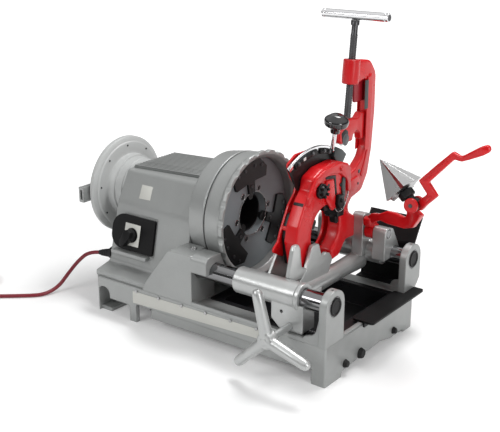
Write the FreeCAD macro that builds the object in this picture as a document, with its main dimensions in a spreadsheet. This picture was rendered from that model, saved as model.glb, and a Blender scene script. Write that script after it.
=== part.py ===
import FreeCAD, Part
import Sketcher
import math
import os
import re

# Pipe threading machine: a geared spindle with a hammer chuck, two rails, and a carriage that
# carries a die head, a wheel cutter and a reamer.  Millimetres.  +X runs along the spindle from
# the rear wheel to the carriage, the operator stands on the -Y side and +Z is up.  The origin is
# on the floor, under the middle of the base, below the spindle axis.

# ---------------------------------------------------------------- driving dimensions
SIZES = {
    # base and bed
    "base_half": 350, "base_front": 211, "base_back": 185, "base_height": 94, "base_wall": 12,
    "base_corner": 16, "skirt_gap": 22, "skirt_step": 5, "foot_pad": 10, "foot_hole": 6.5,
    "foot_x": 325, "foot_y": 165, "deck": 9, "bed_start": -26, "bed_rail_height": 8,
    "bracket_thick": 20, "bracket_start": 332, "bracket_radius": 37, "bracket_half": 37,
    # spindle line and rails
    "spindle_height": 274, "bore_radius": 46.5, "spindle_radius": 55, "run_fit": 0.05,
    "seat_gap": 0.3, "rail_y": 176.5, "rail_z": 181, "rail_radius": 22.5, "rail_start": -60,
    "rail_end": 350,
    # gear housing
    "house_right": -90, "house_top": 346, "house_rise": 11, "house_wall": 9, "shoulder_top": 219,
    "shoulder_back": 125, "boss_end": 20, "cover_thick": 4, "rib_high": 3, "rib_wide": 5,
    "bearing_radius": 62, "bearing_long": 26, "barrel_start": -90, "barrel_end": -38.5,
    "barrel_small": 143, "barrel_big": 151,
    # gears and motor
    "gear_module": 4, "gear_teeth": 40, "pinion_teeth": 12, "gear_start": -82, "gear_wide": 28,
    "motor_lean": 60, "motor_radius": 42, "motor_start": -312,
    "motor_long": 130, "motor_wall": 8, "shaft_radius": 10,
    # hammer chuck
    "wheel_back": -36, "wheel_front": 26, "wheel_small": 151, "wheel_big": 162, "wheel_inner": 142,
    "wheel_web": 14, "face_back": -20, "face_front": -4, "mouth_radius": 53.5, "face_hub": 62,
    "cover_plate": 6, "jaw_wide": 24, "jaw_tip": 38, "jaw_outer": 118, "jaw_thick": 9,
    "chuck_turn": 98, "scallops": 24,
    # rear chuck
    "rear_wheel_radius": 131, "rear_wheel_back": -442, "rear_wheel_rim": 12, "rear_neck": 84,
    "rear_hub": 76, "rear_jaw_tip": 44, "rear_jaw_wide": 20, "rear_jaw_outer": 92,
    # carriage
    "sleeve_radius": 31, "sleeve_start": 92, "sleeve_end": 271, "beam_x": 212, "beam_z": 157,
    "beam_radius": 21, "tool_y": 146, "tool_z": 242, "tool_radius": 11, "tool_start": 104,
    "tool_end": 297, "boss_radius": 19, "apron_start": 200, "apron_end": 284, "apron_low": 105,
    "feed_x": 250, "feed_z": 117, "feed_radius": 8, "feed_module": 2, "feed_teeth": 12,
    "feed_hub_y": -300, "feed_reach": 114, "spoke_radius": 11, "feed_turn": 104,
    # die head
    "head_start": 174, "head_thick": 36, "head_mouth": 61, "head_hub_start": 152,
    "head_hub_end": 202, "head_hub_radius": 22, "plate_start": 157, "plate_thick": 5,
    "cam_start": 167.7, "cam_thick": 6, "cam_inner": 125, "cam_outer": 196, "die_wide": 22,
    "die_tip": 47, "die_long": 48, "die_thick": 16, "lever_x": 170.7, "knob_radius": 30,
    # cutter
    "cutter_start": 126, "cutter_thick": 23, "screw_lean": 5.8, "screw_radius": 9,
    "screw_y": 198, "screw_z": 497, "bar_half": 92, "bar_radius": 11, "wheel_cut": 21,
    "roller_radius": 13,
    # reamer
    "arm_start": 238, "arm_thick": 24, "pivot_x": 405, "pivot_y": 55, "pivot_z": 362,
    "cone_long": 90, "cone_radius": 50, "cone_back": 39,
    # cord
    "cord_radius": 5, "gland_y": -139, "gland_z": 132, "gland_long": 53, "gland_radius": 12,
    "coil_radius": 55, "coil_wide": 30, "coil_high": 20, "coil_x": -742, "coil_y": -300,
}

ORIGIN = FreeCAD.Vector(0, 0, 0)
ALONG = {
    "x": FreeCAD.Rotation(FreeCAD.Vector(0, 1, 0), 90),
    "y": FreeCAD.Rotation(FreeCAD.Vector(1, 0, 0), -90),
    "z": FreeCAD.Rotation(),
}
PLANES = {"x": "YZ_Plane", "y": "XZ_Plane", "z": "XY_Plane"}

doc = FreeCAD.newDocument("pipe_threading_machine")
sheet = doc.addObject("Spreadsheet::Sheet", "dims")
for row, (alias, number) in enumerate(SIZES.items(), 1):
    sheet.set("A%d" % row, alias.replace("_", " "))
    sheet.set("B%d" % row, str(number))
    sheet.setAlias("B%d" % row, alias)
doc.recompute()
nodes = []


# ---------------------------------------------------------------- helpers
def formula(text):
    """An expression with the sheet's name put before each of its aliases."""
    return re.sub(r"[A-Za-z_]\w*", lambda word: "dims." + word[0] if word[0] in SIZES else word[0],
                  str(text))


def value(text):
    """The number that an expression gives with the sheet's present sizes."""
    return float(sheet.evalExpression(formula(text)))


def bind(item, **expressions):
    """Ties properties of an object to the sheet."""
    for name, text in expressions.items():
        item.setExpression(name.replace("__", "."), formula(text))
    return item


def place(item, x="0", y="0", z="0"):
    """Ties an object's position to the sheet and keeps its turn."""
    return bind(item, Placement__Base__x=x, Placement__Base__y=y, Placement__Base__z=z)


def node(item, name):
    """Marks a finished sub-part and gives it its name."""
    item.Label = name
    nodes.append(item)
    return item


def box(name, x, y, z, wide, deep, high):
    item = doc.addObject("Part::Box", name)
    bind(item, Length=wide, Width=deep, Height=high)
    return place(item, x, y, z)


def turn_to(item, position, turn):
    """Puts a bound object at a worked-out position and turn instead."""
    for letter in "xyz":
        item.setExpression("Placement.Base." + letter, None)
    item.Placement = FreeCAD.Placement(FreeCAD.Vector(*position), turn)
    return item


def at(axis, start, pair):
    """Position of a round piece: start along its axis, and the pair across it."""
    if axis == "x":
        return start, pair[0], pair[1]
    if axis == "y":
        return pair[0], start, pair[1]
    return pair[0], pair[1], start


def rod(name, axis, start, long, radius, pair):
    item = doc.addObject("Part::Cylinder", name)
    item.Placement = FreeCAD.Placement(ORIGIN, ALONG[axis])
    bind(item, Radius=radius, Height=long)
    return place(item, *at(axis, start, pair))


def cone(name, axis, start, long, first, second, pair):
    item = doc.addObject("Part::Cone", name)
    item.Placement = FreeCAD.Placement(ORIGIN, ALONG[axis])
    bind(item, Radius1=first, Radius2=second, Height=long)
    return place(item, *at(axis, start, pair))


def ball(name, radius, x, y, z):
    item = doc.addObject("Part::Sphere", name)
    bind(item, Radius=radius)
    return place(item, x, y, z)


def fuse(name, *items):
    item = doc.addObject("Part::MultiFuse", name)
    item.Shapes = list(items)
    item.Refine = True
    return item


def cut(name, base, *tools):
    item = doc.addObject("Part::Cut", name)
    item.Base = base
    item.Tool = tools[0] if len(tools) == 1 else fuse(name + "_tools", *tools)
    item.Refine = True
    return item


def common(name, first, second):
    item = doc.addObject("Part::Common", name)
    item.Base = first
    item.Tool = second
    return item


def tube(name, axis, start, long, outer, inner, pair):
    skin = rod(name + "_outer", axis, start, long, outer, pair)
    hole = rod(name + "_hole", axis, "(%s)-1" % start, "(%s)+2" % long, inner, pair)
    return cut(name, skin, hole)


def turned_copy(item, name, axis, angle, pair):
    """A copy turned about a line parallel to an axis."""
    copy = doc.addObject("Part::Feature", name)
    centre = FreeCAD.Vector(*[value(number) for number in at(axis, "0", pair)])
    line = FreeCAD.Vector(*[float(letter == axis) for letter in "xyz"])
    shape = item.Shape.copy()
    shape.rotate(centre, line, angle)
    copy.Shape = shape
    return copy


def origin_part(body, role):
    return next(item for item in body.Origin.OriginFeatures if item.Role == role)


def tangent_arc(before, corner, after, radius):
    """Start, middle, end and centre of the arc that rounds a corner."""
    back = (before - corner).normalize()
    ahead = (after - corner).normalize()
    half = back.getAngle(ahead) / 2
    reach = radius / math.tan(half)
    middle = (back + ahead).normalize()
    centre = corner + middle * (radius / math.sin(half))
    return corner + back * reach, centre - middle * radius, corner + ahead * reach, centre


def draw(sketch, corners):
    """A closed outline; each corner is (across, up, radius), and every size is bound."""
    points = [FreeCAD.Vector(value(across), value(up), 0) for across, up, radius in corners]
    radii = [value(radius) for across, up, radius in corners]
    rounds = []
    for index, point in enumerate(points):
        after = points[(index + 1) % len(points)]
        if radii[index]:
            rounds.append(tangent_arc(points[index - 1], point, after, radii[index]))
        else:
            rounds.append((point, point, point, point))
    lines = []
    for index, rounding in enumerate(rounds):
        following = rounds[(index + 1) % len(rounds)]
        lines.append(sketch.addGeometry(Part.LineSegment(rounding[2], following[0])))
    for index, (across, up, radius) in enumerate(corners):
        before, after = lines[index - 1], lines[index]
        if not radii[index]:
            sketch.addConstraint(Sketcher.Constraint("Coincident", before, 2, after, 1))
            pin(sketch, after, 1, across, up)
            continue
        first, middle, last, centre = rounds[index]
        forward = (middle - first).cross(last - middle).z > 0
        ends = (first, last) if forward else (last, first)
        arc = sketch.addGeometry(Part.Arc(ends[0], middle, ends[1]))
        corner = sketch.addGeometry(Part.Point(points[index]), True)
        pin(sketch, corner, 1, across, up)
        for line in (before, after):
            sketch.addConstraint(Sketcher.Constraint("PointOnObject", corner, 1, line))
        near, far = (1, 2) if forward else (2, 1)
        sketch.addConstraint(Sketcher.Constraint("Tangent", before, 2, arc, near))
        sketch.addConstraint(Sketcher.Constraint("Tangent", after, 1, arc, far))
        number = sketch.addConstraint(Sketcher.Constraint("Radius", arc, radii[index]))
        sketch.setExpression("Constraints[%d]" % number, formula(radius))


def pin(sketch, item, end, across, up):
    """Ties one point of a sketch to the sheet."""
    for kind, text in (("DistanceX", across), ("DistanceY", up)):
        number = sketch.addConstraint(Sketcher.Constraint(kind, -1, 1, item, end, value(text)))
        sketch.setExpression("Constraints[%d]" % number, formula(text))


def draw_hole(sketch, across, up, radius):
    centre = FreeCAD.Vector(value(across), value(up), 0)
    circle = sketch.addGeometry(Part.Circle(centre, FreeCAD.Vector(0, 0, 1), value(radius)))
    pin(sketch, circle, 3, across, up)
    number = sketch.addConstraint(Sketcher.Constraint("Radius", circle, value(radius)))
    sketch.setExpression("Constraints[%d]" % number, formula(radius))


def sketch_on(body, name, axis, offset):
    """A sketch across an axis, moved along that axis to the place given."""
    sketch = body.newObject("Sketcher::SketchObject", name)
    sketch.AttachmentSupport = [(origin_part(body, PLANES[axis]), "")]
    sketch.MapMode = "FlatFace"
    sign = "-1*" if axis == "y" else ""
    sketch.setExpression("AttachmentOffset.Base.z", formula("%s(%s)" % (sign, offset)))
    return sketch


def plate(name, axis, start, thick, corners, holes=()):
    """A flat piece: an outline with round holes, padded along an axis from start."""
    body = doc.addObject("PartDesign::Body", name)
    offset = "(%s)+(%s)" % (start, thick) if axis == "y" else start
    sketch = sketch_on(body, name + "_outline", axis, offset)
    draw(sketch, corners)
    for hole in holes:
        draw_hole(sketch, *hole)
    pad = body.newObject("PartDesign::Pad", name + "_pad")
    pad.Profile = sketch
    bind(pad, Length=thick)
    return body


def turned(name, axis, corners, pair=("0", "0"), start="0"):
    """A round piece: an outline of (along, radius, rounding) spun about an axis."""
    body = doc.addObject("PartDesign::Body", name)
    flat = {"x": "y", "y": "x", "z": "y"}[axis]
    sketch = sketch_on(body, name + "_outline", flat, "0")
    if axis == "z":
        corners = [(radius, along, rounding) for along, radius, rounding in corners]
    draw(sketch, corners)
    spin = body.newObject("PartDesign::Revolution", name + "_spin")
    spin.Profile = sketch
    spin.ReferenceAxis = (origin_part(body, axis.upper() + "_Axis"), [""])
    spin.Angle = 360
    place(body, *at(axis, start, pair))
    return body


def loft(body, name, kind, sections):
    """A ruled loft along X through sections of (place, corners)."""
    sketches = []
    for number, (start, corners) in enumerate(sections):
        sketch = sketch_on(body, "%s_section_%d" % (name, number), "x", start)
        draw(sketch, corners)
        sketches.append(sketch)
    feature = body.newObject("PartDesign::" + kind, name)
    feature.Profile = sketches[0]
    feature.Sections = sketches[1:]
    feature.Ruled = True
    return feature


def ring_sector(name, start, thick, inner, outer, first, last, pair):
    """A flat sector of a ring across X, between two angles from +Y towards +Z."""
    body = tube(name + "_ring", "x", start, thick, outer, inner, pair)
    reach = value(outer) * 1.5
    centre = FreeCAD.Vector(value(start) - 1, value(pair[0]), value(pair[1]))
    points = [centre]
    steps = max(2, math.ceil((last - first) / 45))
    for step in range(steps + 1):
        angle = math.radians(first + (last - first) * step / steps)
        points.append(centre + FreeCAD.Vector(0, math.cos(angle), math.sin(angle)) * reach)
    wedge = doc.addObject("Part::Feature", name + "_wedge")
    face = Part.Face(Part.makePolygon(points + [centre]))
    wedge.Shape = face.extrude(FreeCAD.Vector(value(thick) + 2, 0, 0))
    return common(name, body, wedge)


def gear(name, start, wide, module, teeth, pair, bore, first=0.0, axis="x"):
    """A spur gear with straight-flanked teeth, slightly thinner than their gaps."""
    pitch = value(module) * value(teeth) / 2
    step = 2 * math.pi / value(teeth)
    body = Part.makeCylinder(pitch - 1.15 * value(module), value(wide))
    tooth_root, tooth_tip = 0.31 * step, 0.13 * step
    tooth = []
    for radius, half in ((pitch - 1.3 * value(module), tooth_root),
                         (pitch + 0.85 * value(module), tooth_tip)):
        for side in (-1, 1) if half == tooth_root else (1, -1):
            tooth.append(FreeCAD.Vector(radius * math.cos(side * half),
                                        radius * math.sin(side * half), 0))
    blank = Part.Face(Part.makePolygon(tooth + tooth[:1])).extrude(
        FreeCAD.Vector(0, 0, value(wide)))
    blanks = []
    for number in range(int(value(teeth))):
        copy = blank.copy()
        copy.rotate(ORIGIN, FreeCAD.Vector(0, 0, 1), first + number * math.degrees(step))
        blanks.append(copy)
    body = body.fuse(blanks)
    if value(bore):
        body = body.cut(Part.makeCylinder(value(bore), value(wide) + 2, FreeCAD.Vector(0, 0, -1)))
    item = doc.addObject("Part::Feature", name)
    item.Shape = body.removeSplitter()
    item.Placement = FreeCAD.Placement(ORIGIN, ALONG[axis])
    return place(item, *at(axis, start, pair))


def strut(name, first, last, radius, second=None):
    """A round bar between two points, given as numbers, with an optional taper."""
    first, last = FreeCAD.Vector(*first), FreeCAD.Vector(*last)
    item = doc.addObject("Part::Feature", name)
    way = last - first
    if second is None:
        item.Shape = Part.makeCylinder(radius, way.Length, first, way)
    else:
        item.Shape = Part.makeCone(radius, second, way.Length, first, way)
    return item


def spot(*texts):
    return tuple(value(text) for text in texts)


GEAR_REACH = "gear_module*(gear_teeth+pinion_teeth)/2"
SPINDLE = ("0", "spindle_height")
MOTOR = (GEAR_REACH + "*cos(motor_lean)", "spindle_height-%s*sin(motor_lean)" % GEAR_REACH)
TOOL = ("tool_y", "tool_z")
FRONT_RAIL = ("-1*rail_y", "rail_z")
REAR_RAIL = ("rail_y", "rail_z")


# ---------------------------------------------------------------- base
def base_casting():
    block = plate("base_block", "z", "0", "base_height", [
        ("-1*base_half", "-1*base_front", "base_corner"), ("base_half", "-1*base_front", "4"),
        ("base_half", "base_back", "4"), ("-1*base_half", "base_back", "base_corner")])
    hollow = plate("base_hollow", "z", "-1", "base_height-deck+1", [
        ("-1*base_half+base_wall", "-1*base_front+base_wall", "8"),
        ("base_half-base_wall", "-1*base_front+base_wall", "8"),
        ("base_half-base_wall", "base_back-base_wall", "8"),
        ("-1*base_half+base_wall", "base_back-base_wall", "8")])
    across = ("-1*base_front-20", "base_front+base_back+40")
    foot = "base_half-10"
    arch = plate("base_arch", "y", *across, [
        ("-1*(%s)" % foot, "-5", "0"), ("-1*(%s)" % foot, "70", "18"), ("-300", "70", "18"),
        ("-300", "-5", "0")])
    hollow_foot = plate("base_foot_gap", "y", *across, [
        ("-301", "-5", "0"), ("-301", "42", "0"), ("-231", "42", "10"), ("-231", "-5", "0")])
    skirt = plate("base_skirt_gap", "y", *across, [
        ("-209", "-5", "0"), ("-209", "50", "6"), ("-163", "50", "6"), ("-163", "skirt_gap", "3"),
        ("298", "skirt_gap+4", "4"), ("314", "skirt_gap+11", "4"), ("314", "-5", "0")])
    ends = plate("base_end_gap", "x", "-1*base_half-10", "2*base_half+20", [
        ("-147", "-5", "0"), ("-141", "13", "4"), ("-36", "18", "8"), ("28", "20", "8"),
        ("76", "9", "4"), ("138", "9", "4"), ("147", "-5", "0")])
    step = box("base_step", "-163", "-1*base_front-1", "-1", "base_half+127", "skirt_step+1", "51")
    well = plate("base_well", "z", "base_height-deck-1", "deck+2", [
        ("4", "-146", "14"), ("318", "-146", "14"), ("318", "140", "14"), ("4", "140", "14")])
    shell = cut("base_shell", block, hollow, arch, hollow_foot, skirt, ends, step, well)
    pads = []
    for side in ("-1*", ""):
        for name, low, deep in (("front", "-1*base_front+base_wall-1", "66"),
                                ("back", "base_back-base_wall-39", "40")):
            pads.append(box("base_pad_%s" % name, "%sfoot_x-19" % side, low, "0", "38", deep,
                            "foot_pad"))
    drilled = []
    for side_x in ("-1*", ""):
        for side_y in ("-1*", ""):
            drilled.append(rod("base_bolt_hole", "z", "-1", "foot_pad+2", "foot_hole",
                               ("%sfoot_x" % side_x, "%sfoot_y" % side_y)))
    whole = fuse("base_whole", shell, *pads)
    node(cut("base_casting_solid", whole, *drilled), "base_casting")


def bed_casting():
    """Front and rear beams with the upright brackets that hold the rail ends."""
    pieces = []
    for side, low, deep in (("front", "-1*base_front", "56"), ("rear", "base_back-36", "36")):
        pieces.append(box("bed_beam_" + side, "bed_start", low, "base_height",
                          "base_half-bed_start-2", deep, "2"))
    pieces.append(box("bed_lip", "bed_start", "-1*base_front", "base_height",
                      "bracket_start-bed_start", "10", "10"))
    pieces.append(box("bed_end_lip", "base_half-10", "-1*base_front", "base_height",
                      "8", "base_front+base_back", "6"))
    for side, centre in (("front", "-1*rail_y"), ("rear", "rail_y")):
        low = "(%s)-bracket_half" % centre
        high = "(%s)+bracket_half" % centre
        if side == "rear":
            foot_high = "base_back"
        else:
            foot_high = high
        pieces.append(plate("bracket_" + side, "x", "bracket_start", "bracket_thick-2", [
            (low, "base_height", "0"), (low, "rail_z+bracket_radius", "bracket_half-1"),
            (high, "rail_z+bracket_radius", "bracket_half-1"), (high, "base_height+30", "0"),
            (foot_high, "base_height", "0")]))
        gusset_low = "-1*base_front" if side == "front" else "base_back-6"
        pieces.append(plate("gusset_" + side, "y", gusset_low, "6", [
            ("286", "base_height", "0"), ("294", "base_height+16", "6"),
            ("322", "base_height+26", "20"), ("bracket_start+1", "rail_z-14", "0"),
            ("bracket_start+1", "base_height", "0")]))
    holes = []
    for side, pair in (("front", FRONT_RAIL), ("rear", REAR_RAIL)):
        holes.append(rod("bracket_bore_" + side, "x", "bracket_start-30", "80",
                         "rail_radius+seat_gap", pair))
        holes.append(rod("oil_hole_" + side, "z", "rail_z", "60", "4",
                         ("bracket_start+bracket_thick/2-1", pair[0])))
    node(cut("bed_solid", fuse("bed_whole", *pieces), *holes), "bed_casting")


def rails():
    for side, pair in (("front", FRONT_RAIL), ("rear", REAR_RAIL)):
        node(turned(side + "_rail_solid", "x", [
            ("rail_start", "0", "0"), ("rail_end", "0", "0"), ("rail_end", "rail_radius", "1.5"),
            ("rail_start", "rail_radius", "1.5")], pair), side + "_rail")


def feed_rack():
    """Rack under the front rail; the carriage's feed pinion rolls along it."""
    pitch = math.pi * value("feed_module")
    pitch_line = value("feed_z - feed_module * feed_teeth / 2")
    low = value("base_height") + 2
    start = value("feed_x") - 13.5 * pitch
    root = pitch_line - 1.25 * value("feed_module")
    tip = pitch_line + 0.8 * value("feed_module")
    points = [(start, low), (start, root)]
    for number in range(26):
        middle = start + (number + 0.5) * pitch
        points += [(middle - 0.36 * pitch, root), (middle - 0.13 * pitch, tip),
                   (middle + 0.13 * pitch, tip), (middle + 0.36 * pitch, root)]
    points += [(start + 26 * pitch, root), (start + 26 * pitch, low)]
    front = value("-1*rail_y-10")
    corners = [FreeCAD.Vector(across, front, up) for across, up in points]
    item = doc.addObject("Part::Feature", "feed_rack_solid")
    face = Part.Face(Part.makePolygon(corners + corners[:1]))
    item.Shape = face.extrude(FreeCAD.Vector(0, 14, 0))
    node(item, "feed_rack")


def chip_tray():
    """Black oil and chip pan that drops into the base's well."""
    outer = plate("tray_outer", "z", "40", "base_height-40", [
        ("8", "-142", "14"), ("314", "-142", "14"), ("314", "136", "14"), ("8", "136", "14")])
    rim = plate("tray_rim", "z", "base_height", "2", [
        ("-20", "-154", "10"), ("331", "-154", "6"), ("331", "-136", "0"), ("339.6", "-136", "3"),
        ("339.6", "136", "3"), ("331", "136", "0"), ("331", "148", "6"), ("-20", "148", "10")])
    hollow = plate("tray_hollow", "z", "43", "base_height", [
        ("11", "-139", "11"), ("311", "-139", "11"), ("311", "133", "11"), ("11", "133", "11")])
    node(cut("tray_solid", fuse("tray_whole", outer, rim), hollow), "chip_tray")
    lip = plate("spout_lip", "z", "base_height+6.3", "5", [
        ("base_half-26", "-60", "5"), ("base_half+28", "-60", "8"), ("base_half+28", "188", "8"),
        ("base_half+0.4", "188", "5"), ("base_half+0.4", "136", "0"), ("base_half-26", "136", "5")])
    drop = box("spout_drop", "base_half+0.3", "-56", "base_height-6", "4", "236", "13")
    node(fuse("spout_solid", lip, drop), "tray_spout")


def splash_guard():
    """Black sheet behind the rear rail that keeps oil on the bed."""
    near, far = "base_back+seat_gap", "base_back+seat_gap+3"
    node(plate("guard_solid", "x", "186.5", "145", [
        (near, "base_height-24", "0"), (far, "base_height-24", "0"), (far, "base_height", "2"),
        ("214", "base_height+2", "4"), ("218", "205", "8"), ("253", "261", "0"),
        ("250.5", "262.6", "0"), ("215", "206", "8"), ("211", "base_height+5", "2"),
        (near, "base_height+3", "2")]), "splash_guard")


def end_plugs():
    pieces = []
    for number, (across, up, radius) in enumerate((("-129", "27", "10"), ("-63", "26", "13"),
                                                   ("92", "24", "9"))):
        pieces.append(turned("plug_%d" % number, "x", [
            ("0", "0", "0"), ("9", "0", "0"), ("9", "(%s)-3" % radius, "2"),
            ("0", radius, "0")], (across, up), "base_half"))
    node(fuse("end_plugs_solid", *pieces), "end_plugs")


# ---------------------------------------------------------------- gear housing
def housing_left(inset):
    return [("-205+%s*5" % inset, "base_height", "0"), ("-205+%s*5" % inset, "107", "3"),
            ("-155+%s" % inset, "119", "12"), ("-114+%s" % inset, "271", "60"),
            ("-72+%s*0.8" % inset, "house_top-%s" % inset, "12"),
            ("120-%s*0.8" % inset, "house_top-%s" % inset, "14"),
            ("150-%s" % inset, "271", "60"), ("166-%s" % inset, "119", "12"),
            ("181-%s*2" % inset, "107", "3"), ("181-%s*2" % inset, "base_height", "0")]


def housing_right(inset):
    return [("-205+%s*5" % inset, "base_height", "0"), ("-205+%s*5" % inset, "107", "3"),
            ("-160+%s" % inset, "119", "12"), ("-132+%s" % inset, "271", "60"),
            ("-92+%s*0.8" % inset, "house_top+house_rise-%s" % inset, "16"),
            ("122-%s*0.8" % inset, "house_top+house_rise-%s" % inset, "18"),
            ("152-%s" % inset, "271", "60"), ("166-%s" % inset, "119", "12"),
            ("181-%s*2" % inset, "107", "3"), ("181-%s*2" % inset, "base_height", "0")]


def gear_housing():
    body = doc.addObject("PartDesign::Body", "housing_body")
    loft(body, "housing_loft", "AdditiveLoft", [
        ("-1*base_half", housing_left("0")), ("house_right", housing_right("0"))])
    inner = doc.addObject("PartDesign::Body", "housing_inner")
    loft(inner, "housing_inner_loft", "AdditiveLoft", [
        ("-1*base_half+house_wall", housing_left("house_wall")),
        ("house_right-house_wall", housing_right("house_wall"))])
    shoulder = plate("shoulder", "y", "-1*base_front", "base_front-shoulder_back", [
        ("-186", "base_height", "0"), ("-175", "116", "8"), ("-157", "141", "14"),
        ("-96", "shoulder_top", "14"), ("bed_start", "shoulder_top", "3"),
        ("bed_start", "base_height", "0")])
    shoulder_inner = plate("shoulder_inner", "y", "-1*base_front+house_wall",
                           "base_front-shoulder_back-2*house_wall", [
        ("-150", "base_height-1", "0"), ("-146", "140", "8"), ("-92", "shoulder_top-9", "8"),
        ("bed_start-9", "shoulder_top-9", "4"), ("bed_start-9", "base_height-1", "0")])
    rear_shoulder = plate("rear_shoulder", "y", "139", "66", [
        ("-110", "base_height", "0"), ("-104", "150", "20"), ("-84", "shoulder_top+2", "14"),
        ("bed_start", "shoulder_top+2", "3"), ("bed_start", "base_height", "0")])
    rear_trim = box("rear_trim", "-120", "base_back", "base_height-1", "100", "30", "26")
    boss = plate("rail_boss", "x", "bed_start-1", "boss_end-bed_start+1", [
        ("-1*base_front", "rail_z-1", "0"), ("-1*base_front", "222", "16"), ("-141", "222", "14"),
        ("-141", "rail_z-1", "0")])
    ledge = plate("switch_ledge", "y", "-166", "30", [
        ("-334", "146", "3"), ("-334", "156", "3"), ("-214", "156", "3"), ("-214", "146", "3")])
    outer = fuse("housing_outer", body, shoulder, rear_shoulder, boss, ledge)
    cuts = [inner, shoulder_inner, rear_trim]
    for side, pair in (("front", FRONT_RAIL), ("rear", REAR_RAIL)):
        cuts.append(rod("housing_rail_" + side, "x", "rail_start-2", "200",
                        "rail_radius+seat_gap", pair))
    cuts.append(rod("housing_left_bore", "x", "-1*base_half-5", "60",
                    "bearing_radius+seat_gap", SPINDLE))
    cuts.append(rod("housing_right_bore", "x", "house_right-20", "40",
                    "bearing_radius+seat_gap", SPINDLE))
    cuts.append(rod("housing_shaft_hole", "x", "house_right-20", "40", "shaft_radius+2", MOTOR))
    cuts.append(rod("housing_barrel_room", "x", "house_right", "60", "barrel_big+seat_gap",
                    SPINDLE))
    cuts.append(rod("housing_wheel_room", "x", "barrel_end-0.5", "80", "wheel_big+3", SPINDLE))
    pocket = doc.addObject("Part::Feature", "switch_pocket")
    pocket.Shape = Part.makeBox(152, 40, 98, FreeCAD.Vector(-76, -40, -46))
    pocket.Placement = switch_frame()
    cuts.append(pocket)
    seats = []
    for side, start in (("rear", "-1*base_half"), ("front", "house_right-bearing_long-10")):
        seats.append(tube(side + "_bearing_seat", "x", start, "bearing_long+10",
                          "bearing_radius+8", "bearing_radius+seat_gap", SPINDLE))
    shell = cut("housing_shell", outer, *cuts)
    node(fuse("housing_solid", shell, *seats), "gear_housing")


def switch_frame():
    """Where the switch plate lies on the sloping front wall; its local -Y faces out."""
    return FreeCAD.Placement(FreeCAD.Vector(-276, -137.5, 200),
                             FreeCAD.Rotation(FreeCAD.Vector(1, 0, 0), -14))


def top_cover():
    """Flat lid that follows the rising top of the housing, with long cooling ribs."""
    start, end = "-1*base_half+6", "house_right-6"
    slope = "house_rise/(base_half+house_right)"
    low = "house_top+6*(%s)" % slope
    high = "house_top+house_rise-6*(%s)" % slope

    def strip(name, near, far, lift):
        return plate(name, "y", near, "(%s)-(%s)" % (far, near), [
            (start, low, "0"), (end, high, "0"), (end, "(%s)+%s" % (high, lift), "0"),
            (start, "(%s)+%s" % (low, lift), "0")])

    pieces = [strip("cover_plate_part", "-58", "106", "cover_thick")]
    for number in range(5):
        near = "%d" % (-56 + number * 10)
        pieces.append(strip("cover_rib_front_%d" % number, near, "(%s)+rib_wide" % near,
                            "(cover_thick+rib_high)"))
    for number in range(4):
        near = "%d" % (66 + number * 10)
        pieces.append(strip("cover_rib_back_%d" % number, near, "(%s)+rib_wide" % near,
                            "(cover_thick+rib_high)"))
    node(fuse("cover_solid", *pieces), "top_cover")


def barrel_ring():
    """Conical front ring of the housing that carries the front bearing."""
    drum = turned("barrel_drum", "x", [
        ("barrel_start", "bearing_radius", "0"), ("barrel_start", "barrel_small", "3"),
        ("barrel_end", "barrel_big", "2"), ("barrel_end", "face_hub+4", "0"),
        ("barrel_end-7", "face_hub+4", "0"), ("barrel_end-7", "barrel_small-8", "4"),
        ("barrel_start+5", "barrel_small-8", "4"), ("barrel_start+5", "bearing_radius", "0")],
        SPINDLE)
    node(cut("barrel_solid", drum, rod("barrel_shaft_hole", "x", "barrel_start-5", "15",
                                       "shaft_radius+2", MOTOR)), "barrel_ring")


def bearings():
    for name, start in (("front", "house_right-bearing_long-9"), ("rear", "-1*base_half+1")):
        node(turned(name + "_bearing_solid", "x", [
            ("0", "spindle_radius+run_fit", "1"), ("bearing_long", "spindle_radius+run_fit", "1"),
            ("bearing_long", "bearing_radius", "1.5"), ("0", "bearing_radius", "1.5")],
            SPINDLE, start), name + "_bearing")


def motor_casing():
    """Motor on its cradle in the bottom of the housing; its shaft runs through both ends."""
    can = turned("motor_can", "x", [
        ("0", "shaft_radius+run_fit", "0"), ("0", "motor_radius-12", "6"), ("14", "motor_radius", "4"),
        ("motor_long-14", "motor_radius", "4"), ("motor_long", "motor_radius-12", "6"),
        ("motor_long", "shaft_radius+run_fit", "0"),
        ("motor_long-motor_wall", "shaft_radius+run_fit", "0"),
        ("motor_long-motor_wall", "motor_radius-motor_wall", "0"),
        ("motor_wall", "motor_radius-motor_wall", "0"),
        ("motor_wall", "shaft_radius+run_fit", "0")], MOTOR, "motor_start")
    cradles = []
    for number, shift in enumerate(("22", "motor_long-42")):
        cradle = box("motor_cradle_%d" % number, "motor_start+" + shift, MOTOR[0] + "-34",
                     "base_height", "20", "68", "%s-base_height-motor_radius*0.6" % MOTOR[1])
        cradles.append(cradle)
    room = rod("motor_room", "x", "motor_start", "motor_long", "motor_radius-2", MOTOR)
    feet = cut("motor_feet", fuse("motor_cradles", *cradles), room)
    node(fuse("motor_solid", can, feet), "motor_casing")


def motor_rotor():
    shaft = turned("rotor_shaft", "x", [
        ("-4", "0", "0"), ("gear_start+gear_wide-motor_start+3", "0", "0"),
        ("gear_start+gear_wide-motor_start+3", "shaft_radius", "1"),
        ("motor_long-motor_wall-4", "shaft_radius", "0"),
        ("motor_long-motor_wall-4", "motor_radius-motor_wall-3", "2"),
        ("motor_wall+4", "motor_radius-motor_wall-3", "2"), ("motor_wall+4", "shaft_radius", "0"),
        ("-4", "shaft_radius", "1")], MOTOR, "motor_start")
    teeth = gear("rotor_pinion", "gear_start", "gear_wide", "gear_module", "pinion_teeth", MOTOR,
                 "0", 180 - value("motor_lean") + 180 / value("pinion_teeth"))
    node(fuse("rotor_solid", shaft, teeth), "motor_rotor")


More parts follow.
